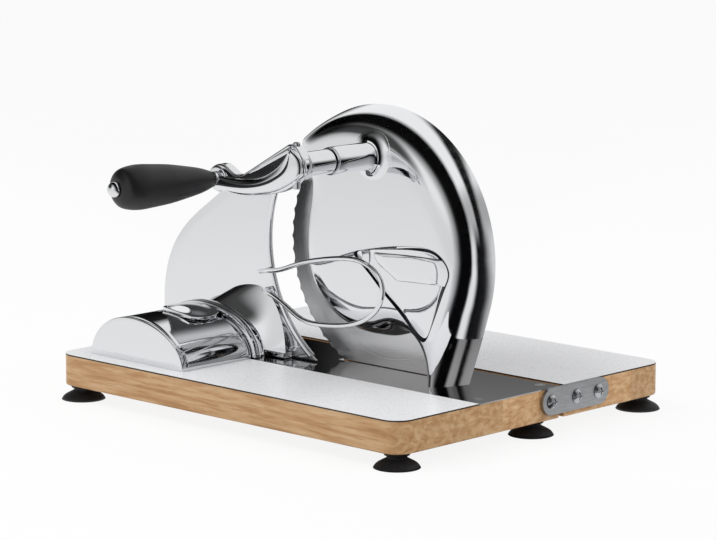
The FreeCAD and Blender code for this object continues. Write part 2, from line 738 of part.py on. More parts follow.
def blade_drive():
    middle = Vector(v.blade_x, 0, v.blade_z)
    shaft_turn = math.pi / 2 - math.radians(v.shaft_lean)
    wire = gear_wire(v.gear_teeth, v.gear_front, middle, shaft_turn)
    wheel = Part.Face(wire).extrude(Y * v.gear_width)
    hub = Part.makeCylinder(v.hub_radius, v.hub_length, middle + Y * (v.gear_front - v.hub_length), Y)
    bore = Part.makeCylinder(v.axle_radius + v.bush_wall, v.gear_width + v.hub_length + 2,
                             middle + Y * (v.gear_front - v.hub_length - 1), Y)
    tub = turned([(v.hub_radius + 14, v.gear_front), (v.gear_pitch - 6, v.gear_front),
                  (v.gear_pitch - 6, v.gear_front + v.gear_width / 2), (v.hub_radius + 14, v.gear_front + v.gear_width / 2)],
                 middle)
    holes = [Part.makeCylinder(v.rivet_radius, v.gear_width + 2, middle + at + Y * (v.gear_front - 1), Y)
             for at in rivet_places()]
    subpart("blade_gear", shaped("blade_gear_wheel", wheel.fuse(hub).cut([bore, tub] + holes)))
    rivets = []
    for at in rivet_places():
        start = middle + at + Y * (v.gear_front - v.rivet_head)
        head = Part.makeCylinder(v.rivet_radius * 1.8, v.rivet_head, start, Y)
        shank = Part.makeCylinder(v.rivet_radius, v.gear_width + v.blade_thickness, start + Y * v.rivet_head, Y)
        tail = Part.makeCone(v.rivet_radius * 1.8, v.rivet_radius * 1.2, v.rivet_head,
                             middle + at + Y * (v.blade_front + v.blade_thickness), Y)
        rivets.append(head.fuse([shank, tail]))
    subpart("gear_rivets", shaped("gear_rivet_set", Part.makeCompound(rivets)))
    back = "blade_front + blade_thickness"
    tube = rod("blade_bush_tube", "axle_radius + bush_wall", back + " + 1 - (gear_front - hub_length)",
               ("blade_x", "gear_front - hub_length", "blade_z"), "y")
    hole = rod("blade_bush_hole", "axle_radius + running_gap", "60", ("blade_x", "gear_front - 20", "blade_z"), "y")
    subpart("blade_bush", cut("blade_bush_body", tube, hole))


def blade_axle():
    """The stub axle is fixed in the housing, the bolt and washer at its back hold the blade on."""
    back = "blade_front + blade_thickness + 1 + seat_gap"
    start = ("blade_x", "housing_front_y + 3", "blade_z")
    shank = rod("blade_axle_rod", "axle_radius", back + " - housing_front_y - 3", start, "y")
    thread = rod("blade_axle_thread", "axle_radius / 2", "14", ("blade_x", back + " - 14", "blade_z"), "y")
    subpart("blade_axle", cut("blade_axle_body", shank, thread))
    washer = rod("blade_washer_disc", "hub_radius - 1", "1.5", ("blade_x", back, "blade_z"), "y")
    hole = rod("blade_washer_hole", "axle_radius / 2", "4", ("blade_x", back + " - 1", "blade_z"), "y")
    subpart("blade_washer", cut("blade_washer_body", washer, hole))
    head = rod("blade_bolt_head", "hub_radius - 3", "5", ("blade_x", back + " + 1.5", "blade_z"), "y")
    shank = rod("blade_bolt_shank", "axle_radius / 2", "13", ("blade_x", back + " - 11.5", "blade_z"), "y")
    slot = box("blade_bolt_slot", ("2 * hub_radius", "2", "2"),
               ("blade_x - hub_radius", back + " + 5", "blade_z - 1"))
    subpart("blade_bolt", cut("blade_bolt_body", fuse("blade_bolt_solid", head, shank), slot))


# ---------------------------------------------------------------- crank
def crank_shaft():
    at = ("shaft_x", "arm_front_y + 2", "shaft_z")
    bar = rod("crank_shaft_rod", "shaft_radius", "blade_front - 0.5 - arm_front_y - 2", at, "y")
    low = "shaft_z - 2 * shaft_radius"
    holes = [rod("hub_pin_hole", "hub_pin_radius", "4 * shaft_radius", ("shaft_x", "arm_back_y - 4", low)),
             rod("pinion_pin_hole", "pinion_pin_radius", "4 * shaft_radius", ("shaft_x", "gear_front - 3", low))]
    subpart("crank_shaft", cut("crank_shaft_body", bar, *holes))
    middle = Vector(v.shaft_x, 0, v.shaft_z)
    gap_turn = 1.5 * math.pi - math.radians(v.shaft_lean) + math.pi / v.pinion_teeth
    front = v.gear_front
    wheel = Part.Face(gear_wire(v.pinion_teeth, front, middle, gap_turn)).extrude(Y * (v.gear_width - 0.3))
    hub = Part.makeCylinder(v.shaft_radius + 4, v.hub_length, middle + Y * (front - v.hub_length), Y)
    bore = Part.makeCylinder(v.shaft_radius, 30, middle + Y * (front - 10), Y)
    pin_hole = Part.makeCylinder(v.pinion_pin_radius, 30, middle + Vector(0, front - 3, -15), Z)
    subpart("drive_pinion", shaped("drive_pinion_wheel", wheel.fuse(hub).cut([bore, pin_hole])))
    pin = Part.makeCylinder(v.pinion_pin_radius, 2 * v.shaft_radius + 8,
                            middle + Vector(0, front - 3, -v.shaft_radius - 4), Z)
    subpart("pinion_pin", shaped("pinion_pin_rod", pin))


def shaft_bushes():
    """Two bronze bushes in the sleeve of the housing."""
    bushes = []
    for start in (v.sleeve_front_y, v.gear_front - v.hub_length - v.seat_gap - v.bush_length):
        at = Vector(v.shaft_x, start, v.shaft_z)
        tube = Part.makeCylinder(v.shaft_radius + v.bush_wall, v.bush_length, at, Y)
        bushes.append(tube.cut(Part.makeCylinder(v.shaft_radius + v.running_gap, v.bush_length, at, Y)))
    subpart("shaft_bushes", shaped("shaft_bush_pair", Part.makeCompound(bushes)))
    start = "sleeve_front_y - washer_thickness - 0.15"
    ring = rod("thrust_washer_disc", "sleeve_radius - 0.3", "washer_thickness", ("shaft_x", start, "shaft_z"), "y")
    hole = rod("thrust_washer_hole", "shaft_radius", "4", ("shaft_x", start + " - 1", "shaft_z"), "y")
    subpart("thrust_washer", cut("thrust_washer_body", ring, hole))


def crank_arm():
    """A forged arm: a bowed flat with a straight rib on top, a round bead along its lower
    edge, a sleeve on the shaft and an eye for the grip pin."""
    hub = Vector(v.shaft_x, v.arm_front_y, v.shaft_z)
    eye = Vector(v.grip_x, v.arm_front_y, v.grip_z)
    reach = v.shaft_x - v.grip_x

    def local(along, up):
        return Vector(hub.x - reach * along, v.arm_front_y, hub.z + v.arm_rise * up)
    top_a, top_b = local(0.055, 1), local(0.67, -0.699)
    rim = [top_b, local(0.77, -0.726), local(0.86, -0.479), local(0.96, -0.315), local(1.11, -0.589), local(1.165, -1.068),
           local(1.11, -1.534), local(0.93, -1.74), local(0.68, -1.795), local(0.41, -1.664), local(0.14, -1.274),
           local(-0.04, -0.699), local(-0.125, 0.0), local(-0.07, 0.651), top_a]
    plate = Part.Face(Part.Wire([Part.makeLine(top_a, top_b), spline(rim)])).extrude(Y * v.arm_thickness)
    pocket = Part.makePolygon([local(0.12, 0.548), local(0.58, -0.712), local(0.42, -0.699), local(0.26, -0.411),
                               local(0.14, 0.068), local(0.12, 0.548)])
    web = Part.Face(pocket).extrude(Y * 2.5)
    path = spline([local(0.02, 0.548), local(0.10, -0.205), local(0.22, -0.788), local(0.40, -1.164), local(0.62, -1.301),
                   local(0.84, -1.233), local(1.0, -1.068)])
    start = path.valueAt(path.FirstParameter)
    tangent = path.tangentAt(path.FirstParameter)
    ring = Part.Wire(Part.makeCircle(v.arm_bead, start, tangent))
    bead = Part.Wire(path).makePipeShell([ring], True, True)
    ends = [Part.makeSphere(v.arm_bead, start), Part.makeSphere(v.arm_bead, path.valueAt(path.LastParameter))]
    sleeve_back = v.sleeve_front_y - v.washer_thickness - 0.15
    sleeve = turned([(0, v.arm_front_y + 1), (v.arm_sleeve_radius, v.arm_front_y + 1), (v.arm_sleeve_radius, sleeve_back),
                     (0, sleeve_back)], Vector(hub.x, 0, hub.z))
    knob = Part.makeCylinder(v.grip_neck + 2, v.arm_thickness + 1, eye - Y, Y)
    arm = plate.fuse([bead] + ends + [sleeve, knob]).cut(web)
    bore = Part.makeCylinder(v.shaft_radius, v.sleeve_front_y, Vector(hub.x, v.arm_front_y + 2, hub.z), Y)
    pin_hole = Part.makeCylinder(v.hub_pin_radius, 4 * v.hub_pin_reach,
                                 Vector(hub.x, v.arm_back_y - v.arm_thickness / 2, hub.z - 2 * v.hub_pin_reach), Z)
    lean = grip_way()
    eye_bore = Part.makeCylinder(v.grip_pin_radius, 4 * v.arm_thickness,
                                 Vector(v.grip_x, v.grip_start_y, v.grip_z) - lean * 1.5 * v.arm_thickness, lean)
    arm = arm.cut([bore, pin_hole, eye_bore, grip_end_cutter()])
    subpart("crank_arm", shaped("crank_arm_forging", arm))
    pin = Part.makeCylinder(v.hub_pin_radius, 2 * v.hub_pin_reach,
                            Vector(hub.x, v.arm_back_y - v.arm_thickness / 2, hub.z - v.hub_pin_reach), Z)
    subpart("hub_pin", shaped("hub_pin_rod", pin))


def grip_way():
    turn = math.radians(v.grip_lean)
    return Vector(-math.sin(turn), -math.cos(turn), 0)


def grip_end_cutter():
    """Keeps the arm behind the plane where the grip's collar starts."""
    way = grip_way()
    at = Vector(v.grip_x, v.grip_start_y, v.grip_z)
    return Part.makeCylinder(v.grip_neck + 1.5, 20, at, way)


def grip_parts():
    way = grip_way()
    at = Vector(v.grip_x, v.grip_start_y, v.grip_z)
    long = v.grip_length
    wide = v.grip_radius
    hole = v.grip_pin_radius + v.running_gap
    back = v.grip_collar
    outline = [(back, 0.34 * wide), (0.09 * long, 0.42 * wide), (0.18 * long, 0.57 * wide), (0.34 * long, 0.74 * wide),
               (0.5 * long, 0.88 * wide), (0.66 * long, 0.96 * wide), (0.8 * long, wide), (0.9 * long, 0.93 * wide),
               (0.965 * long, 0.74 * wide), (long, 0.42 * wide)]
    side = Z
    edge = spline([at + way * along + side * radius for along, radius in outline])
    first, last = outline[0], outline[-1]
    inner = [at + way * along + side * hole for along in (last[0], first[0])]
    tips = [at + way * along + side * radius for along, radius in (last, first)]
    wire = Part.Wire([edge, Part.makeLine(tips[0], inner[0]), Part.makeLine(inner[0], inner[1]),
                      Part.makeLine(inner[1], tips[1])])
    subpart("grip", shaped("grip_handle", Part.Face(wire).revolve(at, way, 360)))
    pin = turned([(0, -10), (v.grip_pin_radius, -10), (v.grip_pin_radius, 0), (v.grip_pin_radius + 1.2, 0),
                  (v.grip_pin_radius + 1.2, back - 0.3), (v.grip_pin_radius, back - 0.3),
                  (v.grip_pin_radius, v.cap_start), (0, v.cap_start)], at, way)
    subpart("grip_pin", shaped("grip_pin_rod", pin))
    bulge = v.grip_cap_radius
    ball = Part.makeSphere(bulge, at + way * v.cap_start)
    keep = Part.makeCylinder(bulge + 1, bulge + 1, at + way * v.cap_start, way)
    subpart("grip_cap", shaped("grip_cap_dome", ball.common(keep)))


# ---------------------------------------------------------------- guide housing and slice stop
def guide_profile(y, inset, base_z, rise=0.0, shift=0.0, right_extra=0.0, left_extra=0.0):
    """Half-round section, steeper on its left, as two quarter ellipses on a straight foot."""
    apex = Vector(v.guide_apex_x + shift, y, base_z)
    high = Vector(0, 0, v.guide_height - inset + rise)
    right = Vector(v.guide_right - inset + right_extra, 0, 0)
    left = Vector(inset - v.guide_left - left_extra, 0, 0)

    def quarter(side):
        points = [apex + side * math.cos(turn) + high * math.sin(turn)
                  for turn in [math.radians(15 * step) for step in range(7)]]
        return spline(points, Vector(0, 0, 1), side * (-1 / side.Length))
    right_edge = quarter(right)
    left_edge = quarter(left)
    foot = Part.makeLine(apex + right, apex + left)
    return Part.Wire(Part.__sortEdges__([right_edge, left_edge, foot]))


def guide_bar(front, back, inset, base_z, **form):
    return Part.Face(guide_profile(front, inset, base_z, **form)).extrude(Y * (back - front))


def guide_housing():
    front, back = v.guide_front_y + v.end_cap_thickness, v.guide_back_y
    shell = guide_bar(front, back, 0, v.panel_top)
    shell = shell.cut(guide_bar(front - 1, back + 1, v.guide_wall, v.panel_top - 0.01))
    notch = Part.makeBox(v.lever_width + 2 * v.slide_gap, back - v.lever_front_y + 1, 2 * v.guide_height,
                         Vector(v.lever_left - v.slide_gap, v.lever_front_y - v.slide_gap, v.panel_top + v.guide_height / 2))
    subpart("guide_housing", shaped("guide_housing_shell", shell.cut(notch)))
    cap = guide_bar(v.guide_front_y, front, 0, v.panel_top)
    plug = guide_bar(front, front + 3, v.guide_wall + 0.1, v.panel_top)
    subpart("guide_end_cap", shaped("guide_end_cap_plate", cap.fuse(plug)))
    rail = box("guide_rail_bar", ("rail_width", "guide_back_y - guide_front_y - 10", "rail_height"),
               ("guide_apex_x - rail_width / 2", "guide_front_y + 8", "panel_top"))
    holes = [rod("guide_rail_bore", "base_screw_radius", "rail_height", (str(x), str(y), "panel_top - 1"))
             for x, y in base_screw_places()["guide_screws"]]
    subpart("guide_rail", cut("guide_rail_body", rail, *holes))


def carriage():
    """The neck slides in the guide housing and carries the stop plate on a flared bracket."""
    front = v.guide_front_y + v.end_cap_thickness + 4
    inset = v.guide_wall + v.slide_gap
    base = v.panel_top + v.slide_gap
    lower = -v.slide_gap
    flare_y = v.guide_back_y + v.collar_width + 1.5
    neck = guide_bar(front, flare_y, inset, base, rise=lower)
    neck = neck.cut(guide_bar(front + v.slide_block, v.guide_back_y - 6, inset + v.neck_wall, base - 0.01, rise=lower))
    groove = Part.makeBox(v.rail_width + 2 * v.slide_gap, 2 * v.guide_back_y, v.rail_height + v.slide_gap + 1,
                          Vector(v.guide_apex_x - v.rail_width / 2 - v.slide_gap, front - 1, v.panel_top - 1))
    sections = []
    for part in (0.0, 0.35, 0.7, 1.0):
        grown = part ** 1.5
        sections.append(guide_profile(flare_y + (v.stop_front_y - flare_y) * part, inset, base,
                                      rise=lower + grown * (v.bracket_rise - lower), shift=grown * v.bracket_shift,
                                      right_extra=-grown * v.bracket_shift * 0.58,
                                      left_extra=grown * v.bracket_shift * 0.44))
    flare = solid_between(sections)
    foot = Part.makeBox(v.bracket_foot, 9, 4, Vector(v.guide_apex_x - 10, v.stop_front_y - 9, base))
    room = v.knuckle_radius + 0.9
    pocket = Part.makeBox(2 * room, v.lever_length - 2 * v.lever_ear, 20,
                          Vector(v.lever_pin_x - room, v.lever_front_y + v.lever_ear, v.lever_pin_z - room))
    ears = [Part.makeBox(5, v.lever_ear, v.lever_pin_radius + 3.2, Vector(v.lever_pin_x - 2.5, y, v.lever_pin_z - 2.5))
            for y in (v.lever_front_y, v.lever_front_y + v.lever_length - v.lever_ear)]
    pin_hole = Part.makeCylinder(v.lever_pin_radius, v.lever_length,
                                 Vector(v.lever_pin_x, v.lever_front_y, v.lever_pin_z), Y)
    body = neck.fuse([flare, foot]).cut(pocket).fuse(ears).cut([pin_hole, groove])
    subpart("stop_bracket", shaped("stop_bracket_casting", body))
    subpart("collar_ring", shaped("collar_ring_band", collar_solid()))


def collar_solid():
    """A half-round band round the neck, with one groove turned in its outside."""
    start = v.guide_back_y + 1.0
    inset = v.guide_wall + v.slide_gap - 0.05
    outer = -v.collar_rise
    base = v.panel_top + v.slide_gap
    band = guide_bar(start, start + v.collar_width, outer, base)
    groove = guide_bar(start + v.collar_width * 0.4, start + v.collar_width * 0.6, outer - 1, base - 1)
    groove = groove.cut(guide_bar(start, start + v.collar_width, outer + 1.2, base - 2))
    return band.cut(groove).cut(guide_bar(start - 1, start + v.collar_width + 1, inset, base - 0.01, rise=-v.slide_gap))


def stop_plate():
    """The plate that sets the slice: its right edge follows the blade, its left edge is a long bow."""
    y = v.stop_front_y
    low = v.panel_top + 1.0
    centre = Vector(v.blade_x, y, v.blade_z)
    radius = v.blade_radius + v.stop_clearance

    def rim(z):
        return Vector(centre.x - math.sqrt(radius ** 2 - (z - centre.z) ** 2), y, z)
    top_z, low_z = v.stop_top, low
    arc = Part.Arc(rim(top_z), rim((top_z + low_z) / 2), rim(low_z)).toShape()
    wide = rim(top_z).x - v.stop_left
    left = [Vector(rim(top_z).x - wide * share, y, top_z - (top_z - low) * down) for share, down in
            ((0.30, 0.0), (0.40, 0.032), (0.51, 0.105), (0.76, 0.283), (0.91, 0.452), (0.985, 0.646), (1.0, 0.792),
             (0.985, 1.0))]
    corner = left[0]
    bow = spline(left)
    wire = Part.Wire([Part.makeLine(rim(top_z), corner), bow, Part.makeLine(left[-1], rim(low_z)), arc])
    plate = Part.Face(wire).extrude(Y * v.stop_thickness)
    path = Part.Arc(rim(top_z), rim((top_z + low_z) / 2), rim(low_z + 3)).toShape()
    begin = path.valueAt(path.FirstParameter)
    ring = Part.Wire(Part.makeCircle(v.stop_bead, begin, path.tangentAt(path.FirstParameter)))
    bead = Part.Wire(path).makePipeShell([ring], True, True)
    bead = bead.common(Part.makeBox(v.board_length, 10 * v.stop_bead, 2 * v.stop_top,
                                    Vector(-v.board_length, y - 5 * v.stop_bead, 0)))
    subpart("stop_plate", shaped("stop_plate_sheet", plate.fuse(bead).removeSplitter()))


def wire_loop():
    """A bent chrome wire that keeps the slices upright, open in the middle."""
    start = Vector(v.loop_hole_x, v.stop_front_y, v.loop_low)
    size = Vector(v.loop_reach, v.loop_front_y, v.loop_high) - start
    shares = [(0, 0, 0.451), (0, 0.172, 0.451), (0.163, 0.581, 0.549), (0.320, 0.837, 0.686), (0.515, 0.930, 0.882),
              (0.729, 0.953, 1), (0.899, 0.988, 0.961), (0.994, 1, 0.706), (0.987, 1, 0.451), (0.912, 0.988, 0.235),
              (0.767, 0.965, 0.078), (0.565, 0.930, 0), (0.389, 0.860, 0.098), (0.200, 0.605, 0.235),
              (0.029, 0.172, 0.196), (0.029, 0, 0.196)]
    points = [start + Vector(size.x * across, size.y * out, size.z * up) for across, out, up in shares]
    path = rounded_path(points)
    first = path.OrderedEdges[0]
    ring = Part.Wire(Part.makeCircle(v.wire_radius, first.valueAt(first.FirstParameter), Y))
    wire = path.makePipeShell([ring], True, False)
    subpart("wire_loop", shaped("wire_loop_rod", wire))


def thumb_lever():
    """A pressed thumb pad that follows the half-round housing, hinged on the neck."""
    base = v.panel_top
    pad = guide_bar(v.lever_front_y, v.lever_front_y + v.lever_length, -v.lever_rise, base)
    pad = pad.cut(guide_bar(v.lever_front_y - 1, v.lever_front_y + v.lever_length + 1, v.lever_wall - v.lever_rise, base))
    keep = Part.makeBox(v.lever_width, v.lever_length, 2 * v.guide_height,
                        Vector(v.lever_left, v.lever_front_y, base + 0.55 * v.guide_height))
    pad = pad.common(keep)
    side = v.lever_ear + v.slide_gap
    knuckle = Part.makeCylinder(v.knuckle_radius, v.lever_length - 2 * side,
                                Vector(v.lever_pin_x, v.lever_front_y + side, v.lever_pin_z), Y)
    hole = Part.makeCylinder(v.lever_pin_radius + v.running_gap, v.lever_length + 4,
                             Vector(v.lever_pin_x, v.lever_front_y - 2, v.lever_pin_z), Y)
    scallops = []
    for step in range(3):
        along = v.lever_front_y + v.lever_length * (0.2 + 0.3 * step)
        scallops.append(Part.makeCylinder(v.lever_length * 0.13, 2 * v.guide_height,
                                          Vector(v.lever_left + v.lever_width + 0.07 * v.lever_length, along, base), Z))
    subpart("thumb_lever", shaped("thumb_lever_pad", pad.cut(scallops).fuse(knuckle).cut(hole)))
    pin = Part.makeCylinder(v.lever_pin_radius, v.lever_length, Vector(v.lever_pin_x, v.lever_front_y, v.lever_pin_z), Y)
    subpart("lever_pin", shaped("lever_pin_rod", pin))


# ---------------------------------------------------------------- build, check and write
for make in (boards, bed_plate, base_screws, feet, link_plates, link_screws, drive_housing, blade, blade_drive, blade_axle,
             crank_shaft, shaft_bushes, crank_arm, grip_parts, guide_housing, carriage, stop_plate, wire_loop,
             thumb_lever):
    make()
doc.recompute()

for item in doc.Objects:
    bad = {"Invalid", "Error"} & set(item.State)
    if bad:
        raise RuntimeError("%s is %s" % (item.Label, ", ".join(bad)))
os.makedirs("parts", exist_ok=True)
whole = FreeCAD.BoundBox()
for item in SUBPARTS:
    shape = item.Shape
    if shape.isNull() or not shape.isValid():
        raise RuntimeError("%s has no valid shape" % item.Label)
    if not shape.Solids:
        raise RuntimeError("%s has no solid" % item.Label)
    whole.add(shape.BoundBox)
    shape.exportStep("parts/%s.step" % item.Label)
    print("%-18s solids %2d volume %10.1f" % (item.Label, len(shape.Solids), shape.Volume))
print("box", whole)
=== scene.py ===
"""Looks of a hand-cranked bread slicer: mirror chrome castings, a serrated steel blade,
a moulded grip and rubber cups on an oiled oak board with pale laminate.

Lengths in this file are millimetres in bench places (x = 0 at the middle of the board, y = 0
at its front edge, z = 0 on the table); place() turns them into the frame's metres.
"""
import math

import bmesh
import bpy
import numpy as np
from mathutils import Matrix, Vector


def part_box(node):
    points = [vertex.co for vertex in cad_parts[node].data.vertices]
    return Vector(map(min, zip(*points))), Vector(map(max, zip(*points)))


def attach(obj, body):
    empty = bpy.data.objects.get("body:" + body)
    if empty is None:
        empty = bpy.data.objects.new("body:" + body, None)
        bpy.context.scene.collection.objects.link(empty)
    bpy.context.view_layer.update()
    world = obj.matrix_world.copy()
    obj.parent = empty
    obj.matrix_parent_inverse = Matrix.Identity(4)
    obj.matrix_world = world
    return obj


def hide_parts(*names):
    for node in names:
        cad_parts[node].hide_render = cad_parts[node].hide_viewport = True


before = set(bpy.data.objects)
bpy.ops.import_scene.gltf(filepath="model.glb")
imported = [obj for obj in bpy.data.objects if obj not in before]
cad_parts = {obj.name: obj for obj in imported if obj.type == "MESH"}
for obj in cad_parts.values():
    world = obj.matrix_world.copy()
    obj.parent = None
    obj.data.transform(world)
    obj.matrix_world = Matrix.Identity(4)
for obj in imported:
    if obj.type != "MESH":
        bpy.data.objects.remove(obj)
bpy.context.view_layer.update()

FRONT_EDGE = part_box("front_board")[0][1] * 1000.0

# ---------------- real sizes, millimetres
BLADE = (41.6, 119.2)  # x and z of the blade's axle
SHAFT = (58.1206, 191.3318)  # x and z of the crank shaft
BLADE_AT, SHAFT_AT = (BLADE[0], 0.0, BLADE[1]), (SHAFT[0], 0.0, SHAFT[1])
REACH = 73.0  # crank shaft to grip, along x
DROP = -15.4  # and along z
TOP = 34.2  # top of the laminate
BRACKET_FOOT = TOP + 0.4  # underside of the slice stop's castings
RIM_Y, FACE_Y = 123.7, 92.6  # drive housing: back plane of its rim and its face
RIM_RADIUS = 103.8  # its outline round the blade's axle
SWELL = 33.0  # how far in from the outline the face begins
CASTING_WALL = 3.0
POCKET_DEPTH = 2.2
SLEEVE_BORE, SLEEVE_RADIUS, FILLET = 7.2, 9.8, 8.0  # radii of the crank's sleeve on the dome
ARM_FRONT, ARM_EDGE, RIB_BACK = 15.0, 1.6, 18.0  # web's front and edge radius, foot of its rib
GRIP_LENGTH, GRIP_RADIUS = 84.0, 15.5
GUIDE_X = -107.0  # ridge of the half-round guide
GUIDE_RIGHT, GUIDE_LEFT, GUIDE_RISE = 55.0, 42.0, 32.0  # its half widths and height
ARCH = 72  # points of its half-round line
STOP_RADIUS = 98.0  # blade's axle to the slice stop's right edge
NECK_END, FLARE_END = 92.5, 105.0  # y where the stop's neck widens and where its plate begins
WELD = 0.002  # points nearer than this become one
CHUNK = 4000  # points whose distances are worked out together


# ---------------- shapes as arrays
def place(points):
    """Bench millimetres to the frame's metres: adds the board's front edge to y, then scales."""
    out = np.array(points, float)
    out[..., 1] += FRONT_EDGE
    return out * 0.001


def curve(knots, count, closed=False):
    """Cubic spline through the knots with chord lengths as its parameter: the second
    derivatives solve one linear system, with zero bending at open ends or a periodic joint.
    The result is count points evenly spaced along it."""
    p = np.asarray(knots, float)
    if closed:
        p = np.vstack([p, p[:1]])
    h = np.linalg.norm(np.diff(p, axis=0), axis=1)
    slope = np.diff(p, axis=0) / h[:, None]
    n = len(p)
    left, right = np.zeros((n, n)), np.zeros_like(p)
    i = np.arange(1, n - 1)
    left[i, i - 1], left[i, i], left[i, i + 1] = h[:-1], 2 * (h[:-1] + h[1:]), h[1:]
    right[1:-1] = 6 * (slope[1:] - slope[:-1])
    if closed:
        left[0, 0], left[0, -1] = 1, -1
        left[-1, -2], left[-1, 0], left[-1, 1] = h[-1], 2 * (h[-1] + h[0]), h[0]
        right[-1] = 6 * (slope[0] - slope[-1])
    else:
        left[0, 0] = left[-1, -1] = 1
    bend = np.linalg.solve(left, right)
    at = np.linspace(0, 1, 60, endpoint=False)[:, None]
    a, b = p[:-1, None], p[1:, None]
    ma, mb, size = bend[:-1, None], bend[1:, None], h[:, None, None]
    fine = (a * (1 - at) + b * at
            + size ** 2 / 6 * (((1 - at) ** 3 - (1 - at)) * ma + (at ** 3 - at) * mb)).reshape(-1, p.shape[1])
    return evenly(np.vstack([fine, p[-1:]]), count, closed)


def evenly(points, count, closed=False):
    """Points at equal lengths along a polyline; a closed one leaves out its repeated end."""
    points = np.asarray(points, float)
    run = np.concatenate([[0], np.cumsum(np.linalg.norm(np.diff(points, axis=0), axis=1))])
    want = np.linspace(0, run[-1], count + 1)[:-1] if closed else np.linspace(0, run[-1], count)
    return np.stack([np.interp(want, run, column) for column in points.T], axis=1)


def loop(line, count):
    """The line closed on itself, as evenly spaced points."""
    return evenly(np.vstack([line, line[:1]]), count, True)


def rectangle(left, right, low, high, count):
    """A closed rectangle as evenly spaced points."""
    return loop([(left, low), (right, low), (right, high), (left, high)], count)


def arc(centre, radius, start, end, count):
    """Points on a circle in the upright plane, from one angle to another in degrees."""
    turn = np.radians(np.linspace(start, end, count))
    return np.stack([centre[0] + radius * np.cos(turn), centre[1] + radius * np.sin(turn)], axis=1)


def circle(count):
    """Cosines and sines of count directions all round."""
    turn = np.linspace(0, 2 * np.pi, count, endpoint=False)
    return np.cos(turn), np.sin(turn)


def unit(ways):
    """The same directions, each of length 1."""
    return ways / np.linalg.norm(ways, axis=-1, keepdims=True)


def step(x, low, high):
    """Smooth step: 0 below low, 1 above high, 3t^2 - 2t^3 between."""
    t = np.clip((x - low) / (high - low), 0, 1)
    return t * t * (3 - 2 * t)


def by_chunks(points, rule):
    """The rule's value for each plane point of an array, worked out CHUNK points at a time."""
    flat = points.reshape(-1, 1, 2)
    parts = [rule(flat[low:low + CHUNK]) for low in range(0, len(flat), CHUNK)]
    return np.concatenate(parts).reshape(points.shape[:-1])


def distance(points, line):
    """Shortest distance from each plane point of an array to a polyline."""
    a, run = line[:-1], np.diff(line, axis=0)
    size = np.maximum((run ** 2).sum(1), 1e-12)

    def nearest(chunk):
        t = np.clip(((chunk - a) * run).sum(2) / size, 0, 1)
        return np.sqrt((((a + t[..., None] * run) - chunk) ** 2).sum(2)).min(1)
    return by_chunks(points, nearest)


def soft_distance(points, line):
    """Distance with no crease on the middle line: (c / sum of ds / r^6) ^ (1/5), which equals the
    plain distance beside a long straight edge, and gives way to it from 4 mm to 1 mm away."""
    fine = evenly(line, int(np.linalg.norm(np.diff(line, axis=0), axis=1).sum() / 0.7))
    ds = np.linalg.norm(fine[1] - fine[0])

    def spread(chunk):
        gap = np.maximum(((chunk - fine) ** 2).sum(2), 0.05)
        return (1.1781 / np.maximum((ds / gap ** 3).sum(1), 1e-30)) ** 0.2
    plain = distance(points, line)
    mix = step(plain, 1.0, 4.0)
    return plain * (1 - mix) + by_chunks(points, spread) * mix


# ---------------- meshes
def quads(rows, cols, wrap):
    """Indices of the quads of a (rows, cols) grid; wrap joins the last column to the first."""
    r = np.arange(rows - 1)[:, None]
    c = np.arange(cols if wrap else cols - 1)
    nxt = (c + 1) % cols
    return np.stack([r * cols + c, r * cols + nxt, (r + 1) * cols + nxt, (r + 1) * cols + c], axis=2).reshape(-1, 4)


def show(name, data):
    """A new object of the scene, from a mesh, a light or a camera."""
    thing = bpy.data.objects.new(name, data)
    bpy.context.scene.collection.objects.link(thing)
    return thing


